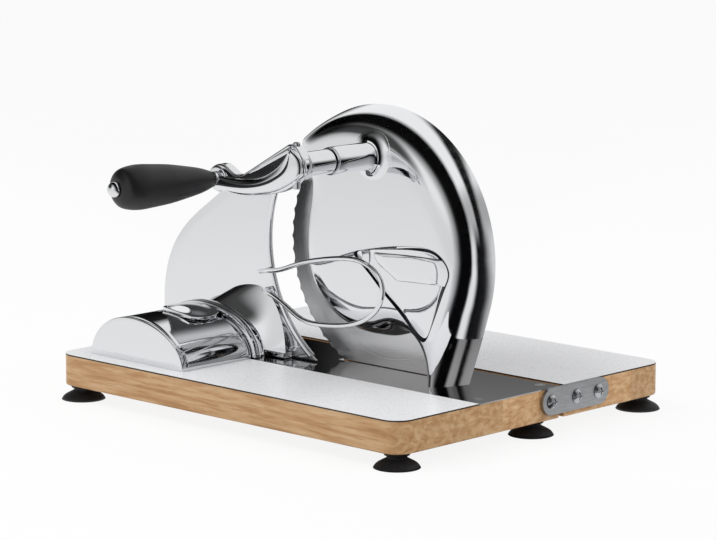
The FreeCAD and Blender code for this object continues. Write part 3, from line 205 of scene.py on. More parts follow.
def piece(name, grids, material, body, stands_for, slot, crease, wall=0.0, bevel=0.0, second=None):
    """One mesh from grids of points: each is (array of rows x columns x 3, wraps round or not) and
    may add a mask of the quads that it keeps. Equal points are welded and the faces turned
    outwards. An open shell gets a wall, in mm, on its inner side; edges sharper than crease stay
    sharp or get a bevel. The rows of one grid may have a second finish: (grid, first, last, finish)."""
    points, faces, tints, base = [], [], [], 0
    for k, (grid, wrap, *mask) in enumerate(grids):
        rows, cols = grid.shape[:2]
        points.append(grid.reshape(-1, 3))
        made = quads(rows, cols, wrap) + base
        row = np.arange(len(made)) // (len(made) // (rows - 1))
        tint = (row >= second[1]) & (row < second[2]) if second and second[0] == k else row < 0
        faces.append(made[mask[0].ravel()] if mask else made)
        tints.append(tint[mask[0].ravel()] if mask else tint)
        base += rows * cols
    mesh = bpy.data.meshes.new(name)
    mesh.from_pydata(place(np.vstack(points)).tolist(), [], np.vstack(faces).tolist())
    mesh.materials.append(material)
    if second:
        mesh.materials.append(second[3])
        mesh.polygons.foreach_set("material_index", np.concatenate(tints).astype(np.int32))
    work = bmesh.new()
    work.from_mesh(mesh)
    bmesh.ops.remove_doubles(work, verts=work.verts, dist=WELD * 0.001)
    bmesh.ops.dissolve_degenerate(work, edges=work.edges, dist=WELD * 0.0005)
    if wall:
        middle = sum((f.calc_center_median() for f in work.faces), Vector()) / len(work.faces)
        if sum(f.normal.dot(f.calc_center_median() - middle) * f.calc_area() for f in work.faces) < 0:
            bmesh.ops.reverse_faces(work, faces=work.faces)
    else:
        bmesh.ops.recalc_face_normals(work, faces=work.faces)
    bmesh.ops.delete(work, geom=[v for v in work.verts if not v.link_faces], context="VERTS")
    work.to_mesh(mesh)
    work.free()
    mesh.shade_smooth()
    mesh.set_sharp_from_angle(angle=math.radians(crease))
    thing = show(name, mesh)
    if wall:
        shell = thing.modifiers.new("wall", "SOLIDIFY")
        shell.thickness, shell.offset, shell.use_even_offset = wall * 0.001, -1.0, True
    if bevel:
        edge = thing.modifiers.new("edges", "BEVEL")
        edge.width, edge.segments, edge.limit_method = bevel * 0.001, 3, "ANGLE"
        edge.angle_limit = math.radians(crease)
        edge.use_clamp_overlap, edge.harden_normals = True, False
    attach(thing, body)
    if stands_for:
        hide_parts(*stands_for)


def spun(profile, at, way=(0, 1, 0), count=72):
    """Surface of revolution: point = at + way * along + radius * (side cos + up sin), for each
    (radius, along) of the profile."""
    way = unit(np.array(way, float))
    side = unit(np.cross(way, (0, 0, 1.0) if abs(way[2]) < 0.9 else (1.0, 0, 0)))
    cos, sin = circle(count)
    ring = cos[:, None] * side + sin[:, None] * np.cross(way, side)
    radius, along = np.array(profile, float).T[..., None, None]
    return np.array(at, float) + along * way + radius * ring, True


def rounded(profile, radius):
    """Replaces each inner corner of a (radius, along) profile by a quadratic bend of that size."""
    p = np.asarray(profile, float)
    out = [p[:1]]
    t = np.linspace(0, 1, 5)[:, None]
    for a, b, c in zip(p, p[1:], p[2:]):
        before, after = np.linalg.norm(a - b), np.linalg.norm(c - b)
        cut = min(radius, 0.45 * before, 0.45 * after)
        s, e = b + (a - b) / before * cut, b + (c - b) / after * cut
        out.append((1 - t) ** 2 * s + 2 * t * (1 - t) * b + t ** 2 * e)
    return np.vstack(out + [p[-1:]])


def turned(profile, radius, at, way=(0, 1, 0), count=72):
    """A turned part: the profile with its corners rounded, spun about its axis."""
    return spun(rounded(profile, radius), at, way, count)


def tube(path, radius, away, count=20):
    """A round bar carried along a path: point = path + radius (side cos + up sin), with side at
    right angles to the path and to the line from the point called away."""
    tangent = unit(np.gradient(path, axis=0))
    side = unit(np.cross(tangent, path - np.array(away, float)))
    cos, sin = circle(count)
    ring = cos[:, None] * side[:, None] + sin[:, None] * np.cross(tangent, side)[:, None]
    radii = np.array([0.0] + [radius] * len(path) + [0.0])[:, None, None]
    path, ring = (np.concatenate([rows[:1], rows, rows[-1:]]) for rows in (path[:, None], ring))
    return path + radii * ring, True


def sheet_grid(xz, y):
    """Joins plane places (rows, cols, 2) and their heights along y to points."""
    return np.stack([xz[..., 0], np.broadcast_to(y, xz.shape[:-1]), xz[..., 1]], axis=-1)


def between(outer, inner, shares):
    """Plane grid from an outer line to an inner one: outer (1 - t) + inner t for each share t."""
    t = np.asarray(shares, float).reshape(len(shares), -1, 1)
    return outer * (1 - t) + inner * t


# ---------------- materials
def linear(code):
    """An sRGB hex colour such as "C9A36B" as linear red, green, blue and a full alpha."""
    parts = [int(code[k:k + 2], 16) / 255 for k in (0, 2, 4)]
    return tuple(c / 12.92 if c <= 0.04045 else ((c + 0.055) / 1.055) ** 2.4 for c in parts) + (1.0,)


def blank(name):
    """A new node material and its tree, which holds a Principled shader."""
    material = bpy.data.materials.new(name)
    material.use_nodes = True
    return material, material.node_tree


def feed(tree, node, parts):
    """Gives a node its parts by name: a property, such as operation, is set; a socket gets a value,
    or a link where the part is a socket or a node, which stands for its first output in use."""
    for key, part in parts.items():
        if isinstance(part, bpy.types.Node):
            part = next(socket for socket in part.outputs if socket.enabled)
        if isinstance(part, bpy.types.NodeSocket):
            tree.links.new(part, node.inputs[key])
        elif str(key).islower():
            setattr(node, key, part)
        else:
            node.inputs[key].default_value = part


def add(tree, kind, parts=None, stops=()):
    """Adds one node and its parts; stops are the (position, hex colour) pairs of a colour ramp."""
    node = tree.nodes.new("ShaderNode" + kind)
    feed(tree, node, parts or {})
    for k, (position, code) in enumerate(stops):
        element = node.color_ramp.elements[k] if k < 2 else node.color_ramp.elements.new(position)
        element.position, element.color = position, linear(code)
    return node


def per_mm(length):
    """Noise scale, in features per metre, for a detail of the given length in millimetres."""
    return 1000.0 / length


def dress(material, rough, relief=None, parts=None):
    """Joins a finish to its shader and returns it. rough is (pattern, low, high) and may add the
    two levels of the pattern that these stand for, else 0.3 and 0.7; relief is (pattern,
    strength, depth in metres)."""
    tree = material.node_tree
    shader = tree.nodes["Principled BSDF"]
    pattern, low, high, *levels = rough
    start, end = levels or (0.3, 0.7)
    blur = add(tree, "MapRange", {"From Min": start, "From Max": end, "To Min": low, "To Max": high,
                                  "Value": pattern})
    feed(tree, shader, {"Roughness": blur, **(parts or {})})
    if relief:
        pattern, strength, depth = relief
        bump = add(tree, "Bump", {"Strength": strength, "Distance": depth, "Height": pattern})
        feed(tree, shader, {"Normal": bump})
    return material


def mirror_chrome(name="mirror_chrome_plate", tone="E9EAEC", rough=0.035):
    """Chrome plate on a polished casting: almost a mirror, with faint waves left by hand polishing
    (patches about 14 mm across) and a film of fine wipe marks that blurs it here and there."""
    material, tree = blank(name)
    at = add(tree, "TexCoord").outputs["Object"]
    waves = add(tree, "TexNoise", {"Scale": per_mm(14), "Detail": 1.0, "Roughness": 0.4, "Vector": at})
    film = add(tree, "TexNoise", {"Scale": per_mm(5), "Detail": 4.0, "Roughness": 0.6, "Vector": at})
    return dress(material, (film, rough, rough + 0.045, 0.35, 0.75), (waves, 0.05, 0.0006),
                 {"Base Color": linear(tone), "Metallic": 1.0})


def ground_steel():
    """Stainless blade steel, ground on a turning table: fine rings about the axle, drawn 0.8 mm
    apart so that they show, that stretch each highlight into a bow tie."""
    material, tree = blank("ground_stainless_steel")
    x, _, z = place([BLADE_AT])[0]
    at = add(tree, "TexCoord").outputs["Object"]
    moved = add(tree, "VectorMath", {"operation": "SUBTRACT", 0: at, 1: (x, 0.0, z)})
    flat = add(tree, "VectorMath", {"operation": "MULTIPLY", 1: (1.0, 0.0, 1.0), 0: moved})
    reach = add(tree, "VectorMath", {"operation": "LENGTH", 0: flat})
    rings = add(tree, "TexNoise", {"noise_dimensions": "1D", "Scale": per_mm(0.8), "Detail": 3.0, "Roughness": 0.7,
                                   "W": reach})
    tone = add(tree, "ValToRGB", {"Fac": rings}, ((0.3, "CBCBCC"), (0.7, "E4E4E4")))
    return dress(material, (rings, 0.14, 0.24), (rings, 0.12, 0.0002), {"Metallic": 1.0, "Base Color": tone})


def bed_steel():
    """Mirror-finish stainless sheet: long faint rolling marks along x and a slightly darker tone."""
    material, tree = blank("mirror_finish_stainless_sheet")
    long = add(tree, "Mapping", {"Scale": (0.04, 1.0, 1.0), "Vector": add(tree, "TexCoord").outputs["Object"]})
    marks = add(tree, "TexNoise", {"Scale": per_mm(1.2), "Detail": 3.0, "Roughness": 0.6, "Vector": long})
    return dress(material, (marks, 0.04, 0.1), parts={"Base Color": linear("A9A8A8"), "Metallic": 1.0})


def satin_steel(name, low, high, grain=(0.05, 1.0, 1.0), rough=(0.28, 0.42)):
    """Brushed and zinc-plated steel: hairlines along one axis, drawn 0.7 mm apart so that they
    show, that soften the highlights across it."""
    material, tree = blank(name)
    drawn = add(tree, "Mapping", {"Scale": grain, "Vector": add(tree, "TexCoord").outputs["Object"]})
    lines = add(tree, "TexNoise", {"Scale": per_mm(0.7), "Detail": 3.0, "Roughness": 0.65, "Vector": drawn})
    tone = add(tree, "ValToRGB", {"Fac": lines}, ((0.3, low), (0.7, high)))
    return dress(material, (lines, *rough), (lines, 0.1, 0.0002), {"Metallic": 1.0, "Base Color": tone})


def oiled_oak(name, shift):
    """Oiled oak strips glued edge to edge: growth rings as soft bands stretched along x, short dark
    pores, drawn 0.9 mm wide and 14 mm long so that they show, and a tone that changes from strip
    to strip, 38 mm wide. Oil leaves a low sheen, duller in the open pores."""
    material, tree = blank(name)
    moved = add(tree, "Mapping", {"Location": shift, "Vector": add(tree, "TexCoord").outputs["Object"]})
    parts = add(tree, "SeparateXYZ", {"Vector": moved})
    strip = add(tree, "Math", {"operation": "MULTIPLY", 1: per_mm(38), 0: parts.outputs["Y"]})
    number = add(tree, "Math", {"operation": "FLOOR", 0: strip})
    own = add(tree, "TexWhiteNoise", {"noise_dimensions": "1D", "W": number})
    slide = add(tree, "VectorMath", {"operation": "SCALE", "Scale": 0.6, 0: own.outputs["Color"]})
    wood = add(tree, "VectorMath", {"operation": "ADD", 0: moved, 1: slide})
    long = add(tree, "Mapping", {"Scale": (0.09, 0.5, 1.0), "Vector": wood})
    sway = add(tree, "TexNoise", {"Scale": per_mm(22), "Detail": 2.0, "Roughness": 0.5, "Vector": long})
    bend = add(tree, "VectorMath", {"operation": "SCALE", "Scale": 0.016, 0: sway.outputs["Color"]})
    bent = add(tree, "VectorMath", {"operation": "ADD", 0: long, 1: bend})
    rings = add(tree, "TexNoise", {"Scale": per_mm(3.4), "Detail": 3.0, "Roughness": 0.55, "Vector": bent})
    tone = add(tree, "ValToRGB", {"Fac": rings},
               ((0.25, "AC7C4E"), (0.42, "C09362"), (0.58, "D0A87A"), (0.78, "DBB990")))
    slim = add(tree, "Mapping", {"Scale": (0.065, 1.0, 1.0), "Vector": wood})
    pores = add(tree, "TexNoise", {"Scale": per_mm(0.9), "Detail": 1.0, "Roughness": 0.5, "Vector": slim})
    dark = add(tree, "MapRange", {"From Min": 0.60, "From Max": 0.70, "To Max": 0.42, "Value": pores})
    mixed = add(tree, "Mix", {"data_type": "RGBA", "B": linear("9A6C3C"), "Factor": dark, "A": tone})
    strength = add(tree, "MapRange", {"To Min": 0.86, "To Max": 1.1, "Value": own})
    toned = add(tree, "VectorMath", {"operation": "SCALE", 0: mixed, "Scale": strength})
    seam = add(tree, "Math", {"operation": "FRACT", 0: strip})
    line = add(tree, "MapRange", {"From Max": 0.012, "To Min": 0.72, "Value": seam})
    final = add(tree, "VectorMath", {"operation": "SCALE", 0: toned, "Scale": line})
    depth = add(tree, "Math", {"operation": "SUBTRACT", 0: rings, 1: dark})
    return dress(material, (rings, 0.5, 0.36), (depth, 0.25, 0.0003), {"Base Color": final})


def white_laminate():
    """High-pressure laminate: a white melamine face with a satin grain, drawn 1.2 mm coarse so that
    it shows, and, on its cut edge, the dark phenolic core."""
    material, tree = blank("white_laminate_on_dark_core")
    at = add(tree, "TexCoord").outputs
    up = add(tree, "SeparateXYZ", {"Vector": at["Normal"]})
    face = add(tree, "MapRange", {"From Min": 0.5, "From Max": 0.8, "Value": up.outputs["Z"]})
    grain = add(tree, "TexNoise", {"Scale": per_mm(1.2), "Detail": 3.0, "Roughness": 0.6, "Vector": at["Object"]})
    white = add(tree, "ValToRGB", {"Fac": grain}, ((0.3, "F3F4F5"), (0.7, "F7F7F8")))
    tone = add(tree, "Mix", {"data_type": "RGBA", "A": linear("2B2623"), "Factor": face, "B": white})
    return dress(material, (grain, 0.26, 0.32), (grain, 0.02, 0.00002),
                 {"Specular IOR Level": 0.22, "Base Color": tone})


def moulded(name, low, high, rough, grain, depth):
    """A moulded skin: a pebble grain of the given size in mm, coarse enough to show, a little
    lighter on its peaks, over a faint uneven film."""
    material, tree = blank(name)
    at = add(tree, "TexCoord").outputs["Object"]
    pebble = add(tree, "TexNoise", {"Scale": per_mm(grain), "Detail": 2.0, "Roughness": 0.6, "Vector": at})
    soil = add(tree, "TexNoise", {"Scale": per_mm(16), "Detail": 3.0, "Roughness": 0.6, "Vector": at})
    both = add(tree, "Math", {"operation": "MULTIPLY", 1: 0.5, 0: pebble})
    total = add(tree, "Math", {"operation": "MULTIPLY_ADD", 1: 0.5, 0: soil, 2: both})
    tone = add(tree, "ValToRGB", {"Fac": total}, ((0.35, low), (0.65, high)))
    return dress(material, (total, rough - 0.05, rough + 0.07), (pebble, 0.3, depth * 0.001), {"Base Color": tone})


CHROME = mirror_chrome()
# painted shade: a darker and rougher chrome in the corner of the recess and on the raised band's edge, standing in
# for the shade and dark reflections there
PAINTED_SHADE_CHROME = mirror_chrome("painted_shade_recess_chrome", "3A3B3F", 0.24)
BRIGHT_STEEL = mirror_chrome("polished_steel_fittings", "CDCFD2", 0.1)
BLADE_STEEL = ground_steel()
BED_STEEL = bed_steel()
LINK_STEEL = satin_steel("brushed_zinc_plated_strap", "8F9194", "B6B8BA", (1.0, 0.05, 1.0))
GEAR_STEEL = satin_steel("machined_gear_steel", "6E7074", "96989B", (1.0, 0.1, 1.0), (0.3, 0.45))
SCREW_STEEL = satin_steel("bright_zinc_screw_steel", "A4A7AA", "CFD1D3", (1.0, 1.0, 1.0), (0.2, 0.32))
OAK_FRONT = oiled_oak("oiled_oak_front_board", (0.0, 0.0, 0.0))
OAK_REAR = oiled_oak("oiled_oak_rear_board", (0.37, 0.013, 0.04))
LAMINATE = white_laminate()
# ABS with a fine spark-eroded grain: near black, with a soft broad highlight
GRIP_PLASTIC = moulded("satin_black_moulded_abs", "0B0B0D", "17171A", 0.42, 0.8, 0.06)
# vulcanised rubber: matte, slightly grey where it is dusty
RUBBER = moulded("matte_black_vulcanised_rubber", "08080A", "1B1B1D", 0.62, 1.1, 0.1)
# sintered bronze of the bushes
BRONZE = satin_steel("sintered_bronze", "7A5A32", "A07A48", (1.0, 1.0, 1.0), (0.35, 0.5))


def chromed(name, grids, body, stands_for, crease, **more):
    """A piece in mirror chrome."""
    piece(name, grids, CHROME, body, stands_for, "bright_chrome", crease, **more)


# ---------------- drive housing
POCKET = ((107, 66), (112.5, 73), (120, 90), (127, 107), (129.6, 116), (126.5, 124), (116.5, 130.6), (104, 131.5),
          (80, 128.5), (52, 124.5), (41, 121), (50, 112), (70, 95), (88, 80), (100, 68))
POCKET_MARKS = ((107, 66), (129.6, 116), (125.5, 125.5), (52, 124.5), (41, 121), (62, 102), (99, 69))
RIM_START, RIM_END = -19, 135  # degrees round the blade's axle


def housing_outline():
    """Plane lines of the casting, split at shared stations: the outer one runs from the foot's
    outer corner up the leg, over the rim to the lobe, down its hollow and round the gear to the
    foot's inner corner; the inner one runs up the leg's middle and round the recess."""
    rim = arc(BLADE, RIM_RADIUS, RIM_END, RIM_START, 181)[::-1]
    leg = curve([rim[0], (131.4, 59.7), (122.1, 34)], 60)[::-1]
    foot, lobe = (int(round((angle - RIM_START) / (RIM_END - RIM_START) * 180)) for angle in (-4, 22))
    hollow = curve([(-31.8, 192.6), (-20.4, 181), (-14.6, 165.2), (-17.4, 143.2), (-19.4, 119.2)], 90)
    touch = math.degrees(math.atan2(63.04 - BLADE[1], 65.41 - BLADE[0]))
    belly = arc(BLADE, 61, -180, touch, 160)
    bend = arc((74, 42.79), 22, 113, 0, 60)
    low = len(belly) * 9 // 11
    outer = [np.vstack([leg, rim[:1]])[:40], np.vstack([leg[39:], rim[1:foot + 1]]), rim[foot:lobe + 1], rim[lobe:],
             hollow, belly[:low], np.vstack([belly[low - 1:], bend[1:]]), [bend[-1], (96, 39.5)],
             [(96, 39.5), (96, 34)]]
    pocket = curve(POCKET, 600, closed=True)
    marks = [int(((pocket - mark) ** 2).sum(1).argmin()) for mark in POCKET_MARKS]
    runs = [pocket[a:b + 1] if b >= a else np.vstack([pocket[a:], pocket[:b + 1]])
            for a, b in zip(marks, marks[1:] + marks[:1])]
    slit = np.array([(109, 34), pocket[marks[0]]])
    counts = (24, 34, 34, 84, 50, 96, 64, 10, 24)
    for lines in (outer, [slit] + runs + [slit[::-1]]):
        parts = [evenly(line, count) for line, count in zip(lines, counts)]
        yield np.vstack([part[:-1] for part in parts[:-1]] + [parts[-1]])


def housing_height(gap):
    """y of the casting's outside by the distance from its outline: one swell from the rim to the
    face, RIM_Y - (RIM_Y - FACE_Y) (1 - (1 - s)^4.75) with s = gap / SWELL."""
    s = np.clip(gap / SWELL, 0, 1)
    return RIM_Y - (RIM_Y - FACE_Y) * (1 - (1 - s) ** 4.75)


def smooth_height(gap):
    """The same, averaged over 1.4 mm so that the shoulder is a rounded edge."""
    shift = np.linspace(-0.7, 0.7, 7) * np.clip(gap / 0.9, 0, 1)[..., None]
    return housing_height(gap[..., None] + shift).mean(-1)


def housing_inside(gap):
    """y of the inner wall: the rim's own plane for a wall's width, then the outside's form, that
    much further in."""
    form = housing_height(np.maximum(gap - CASTING_WALL, 0)) + CASTING_WALL * step(gap, CASTING_WALL, 6.8)
    return np.where(gap < CASTING_WALL, RIM_Y, form)


def rows_at(outer, inner, gap_of, levels, more):
    """Rows of a plane grid: the first follow the given distances from the outline, by inverting
    the distance along each column, and the others share out what is left of the columns."""
    t = np.linspace(0, 1, 91)
    gap = gap_of(outer[:, None] * (1 - t)[:, None] + inner[:, None] * t[:, None])
    gap[:, 0] = 0
    gap = np.maximum.accumulate(gap, axis=1)
    levels = np.array(levels, float)
    want = np.minimum(levels, gap[:, -1:] * 0.86 * (levels / levels[-1]) ** 0.8)
    k = np.clip((gap[:, None] <= want[..., None]).sum(2) - 1, 0, len(t) - 2)
    column = np.arange(len(outer))[:, None]
    low, high = gap[column, k], gap[column, k + 1]
    share = t[k] + (want - low) / np.maximum(high - low, 1e-6) * (t[1] - t[0])
    share = np.clip(np.maximum.accumulate(share, axis=1), 0, 0.93)
    parts = np.append(np.arange(1, more) / more, (0.985, 1))  # a last row close to the edge keeps it crisp
    rest = share[:, -1:] + (1 - share[:, -1:]) * parts
    return between(outer, inner, np.concatenate([share, rest], axis=1).T)


def drive_housing():
    """The chrome casting over the gears as one closed shell: outside, recess, rim and inside.
    Returns the function for the distance from its outline, which its neighbours follow."""
    rim, heart = housing_outline()
    edge = np.vstack([[(110.6, 0.6)], rim, [(96, -26)]])  # both sides of the leg run on below it
    gap_of = lambda grid: soft_distance(grid, edge)
    plane = rows_at(rim, heart, gap_of, (0, 0.5, 1.2, 2, 2.8, 3.3, 3.8, 4.3, 5, 6, 7.4, 9, 11, 13, 15.5, 18), 16)
    gap = gap_of(plane)
    gap[0] = 0
    outside, inside = sheet_grid(plane, smooth_height(gap)), sheet_grid(plane, housing_inside(gap))
    ends = [(np.stack([outside[:, k], inside[:, k]]), False) for k in (0, -1)]
    corner = heart[23:-24]
    way = np.array([102, 108]) - corner
    size = np.linalg.norm(way, axis=1)[:, None]
    drops = ((0, 0), (0.4, 0.15), (1, 0.8), (1.9, 1.8), (2.6, 2.15), (3.2, POCKET_DEPTH))
    slack = 1.0 - 0.62 * way[:, :1] / size  # the edge on the right slopes in more gently
    floor = np.stack([corner + way / size * off * slack for off, _ in drops]
                     + [corner + way * share for share in (0.14, 0.28, 0.45, 0.7, 1)])
    deep = np.array([depth for _, depth in drops] + [POCKET_DEPTH] * 5)[:, None]
    gap = gap_of(floor)
    top, under = sheet_grid(floor, smooth_height(gap) + deep), sheet_grid(floor, housing_inside(gap))
    top[-1], under[-1] = top[-1].mean(0), under[-1].mean(0)
    # the first four rows of the recess's wall take the dark chrome: painted shade in the recess's crease
    chromed("drive_housing_casting", [(outside, False), (inside, False), (top, True), (under, True)] + ends,
            "base", ["drive_housing"], 38, second=(2, 0, 4, PAINTED_SHADE_CHROME))
    return gap_of


def bare_band(gap_of):
    """The casting's raised band, left bare: a plate 0.6 mm thick that follows the recess's floor.
    Its rows step in from the outline while its edge rises, then close on the middle."""
    line = loop(np.vstack([
        curve([(59, 123), (90, 124.6), (123, 125)], 60),
        curve([(123, 125), (127.2, 120), (128.2, 113), (126, 107)], 16)[1:-1],
        curve([(126, 107), (104, 106.6), (81, 105.6)], 50),
        curve([(81, 105.6), (70, 112), (60, 119.6), (59, 123)], 20)[1:-1]]), 160)
    middle = line.mean(0)
    way = unit(middle - line)
    edge = ((0, 1.5), (0, 0.5), (0.3, 0.12), (0.8, 0))
    rows = [line + way * inward for inward, _ in edge]
    plane = np.stack(rows + [rows[3] * (1 - share) + middle * share for share in (0.3, 0.6, 1)])
    height = smooth_height(gap_of(plane)) + 0.9
    front = sheet_grid(plane, height + np.array([lift for _, lift in edge] + [0, 0, 0])[:, None])
    back = sheet_grid(plane, height + 1.5)[[0, 3, 4, 5, 6]]
    front[-1], back[-1] = front[-1].mean(0), back[-1].mean(0)
    # the band's edge rows take the dark chrome: painted shade along its raised edge
    chromed("bare_band_plate", [(front, True), (back, True)], "base", ["drive_housing"], 60,
            second=(0, 0, 2, PAINTED_SHADE_CHROME))


def crank_sleeve(gap_of):
    """Sleeve of the crank shaft, with an 8 mm fillet on to the dome, lift = 8 (1 - sqrt(1 - (1 - s)^2))
    by the share s of the fillet's width, and the two bosses inside."""
    ring = np.stack(circle(96), axis=1)
    reach = SLEEVE_RADIUS + np.linspace(0, 8.4, 15)
    plane = np.array(SHAFT) + reach[:, None, None] * ring
    share = np.clip((reach - SLEEVE_RADIUS) / FILLET, 0, 1)
    lift = FILLET * (1 - np.sqrt(1 - (1 - share) ** 2))
    y = smooth_height(gap_of(plane)) - lift[:, None] + 0.02
    y[-1] += 0.5
    whole, _ = turned([(SLEEVE_BORE, 52), (SLEEVE_BORE, 51)] + [(SLEEVE_RADIUS, y) for y in (51, 60, 72, 80)],
                      0.6, SHAFT_AT, count=96)
    for grid in (sheet_grid(plane, y), sheet_grid(plane[-1:], y[-1:] + 1.5)):
        whole = np.concatenate([whole, ring_match(whole, grid)])
    inside, _ = spun([(17, 97.5), (17, 112), (9, 113.6), (SLEEVE_BORE, 113.6), (SLEEVE_BORE, 100),
                      (SLEEVE_BORE, 52)], SHAFT_AT, count=96)
    chromed("crank_sleeve_casting", [(np.concatenate([whole, inside]), True)], "base", [], 50)
    boss = turned([(6.05, 97), (6.05, 93.8), (13, 93.8), (13, 113.6), (6.05, 113.6), (6.05, 96.9)], 0.5, BLADE_AT)
    chromed("axle_boss_casting", [boss], "base", [], 50)


def ring_match(like, grid):
    """Turns the columns of a grid of rings about the crank shaft to line up with those of another."""
    angle = lambda ring: np.arctan2(ring[:, 2] - SHAFT[1], ring[:, 0] - SHAFT[0])
    apart = np.abs(np.angle(np.exp(1j * (angle(like[-1])[:, None] - angle(grid[0])))))
    return grid[:, np.argmin(apart, axis=1)]


# ---------------- crank
def local(*marks):
    """Places on the arm from (share of its reach from shaft to grip, mm above the shaft) marks."""
    return np.array([(SHAFT[0] - REACH * along, SHAFT[1] + up) for along, up in marks])


def quarter(share):
    """Height of a quarter circle: sqrt(1 - (1 - share)^2), level from share 1 on."""
    return np.sqrt(1 - (1 - np.clip(share, 0, 1)) ** 2)


def arm_web():
    """The flat web: rows from its outline to its spine, the edge rounded by a quarter circle."""
    upper = np.vstack([
        curve(local((-0.125, 0), (-0.115, 5.5), (-0.07, 10.6), (0, 14.6), (0.06, 14.6)), 26),
        evenly(local((0.06, 14.6), (0.67, -10.2)), 60)[1:],
        curve(local((0.67, -10.2), (0.75, -11.2), (0.84, -8.6), (0.93, -5.2), (1.04, -6), (1.12, -10),
                    (1.165, -15.6)), 50)[1:]])
    lower = curve(local((-0.125, 0), (-0.04, -10.2), (0.14, -18), (0.41, -22.6), (0.68, -24.2), (0.93, -24),
                        (1.11, -21.6), (1.165, -15.6)), 121)
    spine = curve(local((-0.02, 2), (0.2, -4.5), (0.5, -13), (0.8, -16.4), (1.06, -15)), 121)
    ring = np.vstack([evenly(upper, 121), lower[-2:0:-1]])
    core = np.vstack([spine, spine[-2:0:-1]])
    plane = between(ring, core, (0, 0, 0.01, 0.02, 0.035, 0.05, 0.08, 0.14, 0.25, 0.4, 0.6, 0.8, 1))
    edge = distance(plane, np.vstack([ring, ring[:1]]))
    y = ARM_FRONT + ARM_EDGE * (1 - quarter(edge / ARM_EDGE))
    y[0] = ARM_FRONT + ARM_EDGE
    back = sheet_grid(between(ring, core, (0, 0, 0.03, 0.3, 1)), np.array([21.8, 21.8, 23, 23, 23])[:, None])
    return np.concatenate([back[::-1], sheet_grid(plane, y)]), True


def arm_bar():
    """The crowned bar below: its section at each station is middle + half cos t, with
    y = front - depth sin t, and both shrink to nothing at its ends."""
    above = curve(local((1.10, -12.6), (0.98, -12.4), (0.87, -13), (0.74, -13.1), (0.54, -12.2), (0.375, -9.3),
                        (0.27, -5.8), (0.176, -1.4), (0.097, 3.9), (0.04, 8.6), (-0.01, 12)), 110)
    below = curve(local((1.12, -19.6), (1.02, -22.4), (0.90, -23.6), (0.77, -24.2), (0.565, -24), (0.365, -21.6),
                        (0.165, -17.3), (0.007, -11.6), (-0.10, -5.4), (-0.125, 0.6), (-0.10, 7),
                        (-0.02, 12.2)), 110)
    share = np.linspace(0, 1, 110)
    swell = quarter(share / 0.09) * quarter((1 - share) / 0.05)
    middle, half = (above + below) / 2, (above - below) / 2 * (0.35 + 0.65 * swell)[:, None]
    half[0], half[-1] = 0, 0
    cos, sin = circle(44)
    flat = middle[:, None] + half[:, None] * cos[:, None]
    depth = np.where(sin > 0, 5.6, 3) * (swell * (0.86 + 0.14 * np.sin(np.pi * share)))[:, None]
    return sheet_grid(flat, ARM_FRONT - depth * sin), True


def arm_rib():
    """The straight rib on top, whose face slants forward: its section runs from the crest to the
    root by (share, y), and its height rises from a quarter to the whole along the first third."""
    crest, root = evenly(local((0.672, -10.6), (-0.012, 16)), 60), evenly(local((0.655, -11.8), (0.022, 10.9)), 60)
    across, high = np.array(((-0.02, 18), (0, 16.9), (0.08, 16.1), (0.86, 12.2), (0.95, 11.9), (1.03, 12.1),
                             (1.08, 12.8), (1.08, 18))).T
    rise = (0.25 + 0.75 * step(np.linspace(0, 1, 60), 0, 0.3))[:, None]
    plane = crest[:, None] + (root - crest)[:, None] * across[:, None]
    rib = sheet_grid(plane, RIB_BACK - (RIB_BACK - high) * rise)
    first, last = (end * 0 + end.mean(1, keepdims=True) for end in (rib[:1], rib[-1:]))
    return np.concatenate([first, rib, last]), True


def crank_arm():
    """The forged arm with its sleeve, hub and grip boss, and the pin across the hub."""
    sleeve = turned([(0, 16.2), (8.6, 16.2), (8.6, 23), (10.2, 23), (10.2, 25.6), (8.6, 25.6), (8.6, 48.9),
                     (0, 48.9)], 0.7, SHAFT_AT)
    hub = turned([(0, 15.6), (9, 15.6), (9.8, 18), (9.8, 22.8), (0, 22.8)], 1.4, SHAFT_AT)
    knob = turned([(0, 14), (9, 14), (9, 23), (0, 23)], 1.8, (SHAFT[0] - REACH, 0, SHAFT[1] + DROP), count=60)
    chromed("crank_arm_forging", [arm_web(), arm_bar(), arm_rib(), sleeve, hub, knob], "crank", ["crank_arm"], 34)
    pin = turned([(0, -16), (2.5, -16), (2.5, 16), (0, 16)], 0.9, (SHAFT[0], 19, SHAFT[1]), (0, 0, 1), 32)
    piece("hub_cross_pin", [pin], BRIGHT_STEEL, "crank", ["hub_pin"], "bright_chrome", 50)


def hand_grip():
    """Pear-shaped grip: a spline through (share of length, share of radius), turned about an axis
    that leans 8 degrees; its end carries a chrome cap and its foot a chrome collar."""
    lean = math.radians(8)
    way = (-math.sin(lean), -math.cos(lean), 0)
    at = (SHAFT[0] - REACH, 14, SHAFT[1] + DROP)
    form = curve([(4.3 / 84, 0.34), (0.09, 0.42), (0.18, 0.57), (0.34, 0.74), (0.5, 0.88), (0.66, 0.96), (0.8, 1),
                  (0.9, 0.93), (0.965, 0.74), (0.99, 0.52), (0.995, 0.3)], 90)
    profile = np.stack([form[:, 1] * GRIP_RADIUS, form[:, 0] * GRIP_LENGTH], axis=1)
    profile = np.vstack([[(4.1, 4.6), (4.5, 4.2)], profile, [(4.1, 83.2), (4.1, 4.6)]])
    piece("hand_grip_moulding", [spun(profile, at, way, 96)], GRIP_PLASTIC, "handle", ["grip"], "black_grip", 40)
    collar = turned([(0, -6), (4, -6), (4, -0.2), (5.3, 0), (5.3, 3.6), (4, 3.6), (4, GRIP_LENGTH),
                     (0, GRIP_LENGTH)], 0.4, at, way, 48)
    foot = GRIP_LENGTH + 0.4
    cap = spun(np.vstack([[(0, foot), (5, foot)], arc((0, foot), 5.4, 0, 90, 14)]), at, way, 48)
    chromed("grip_pin_and_cap", [collar, cap], "crank", ["grip_pin", "grip_cap"], 40)


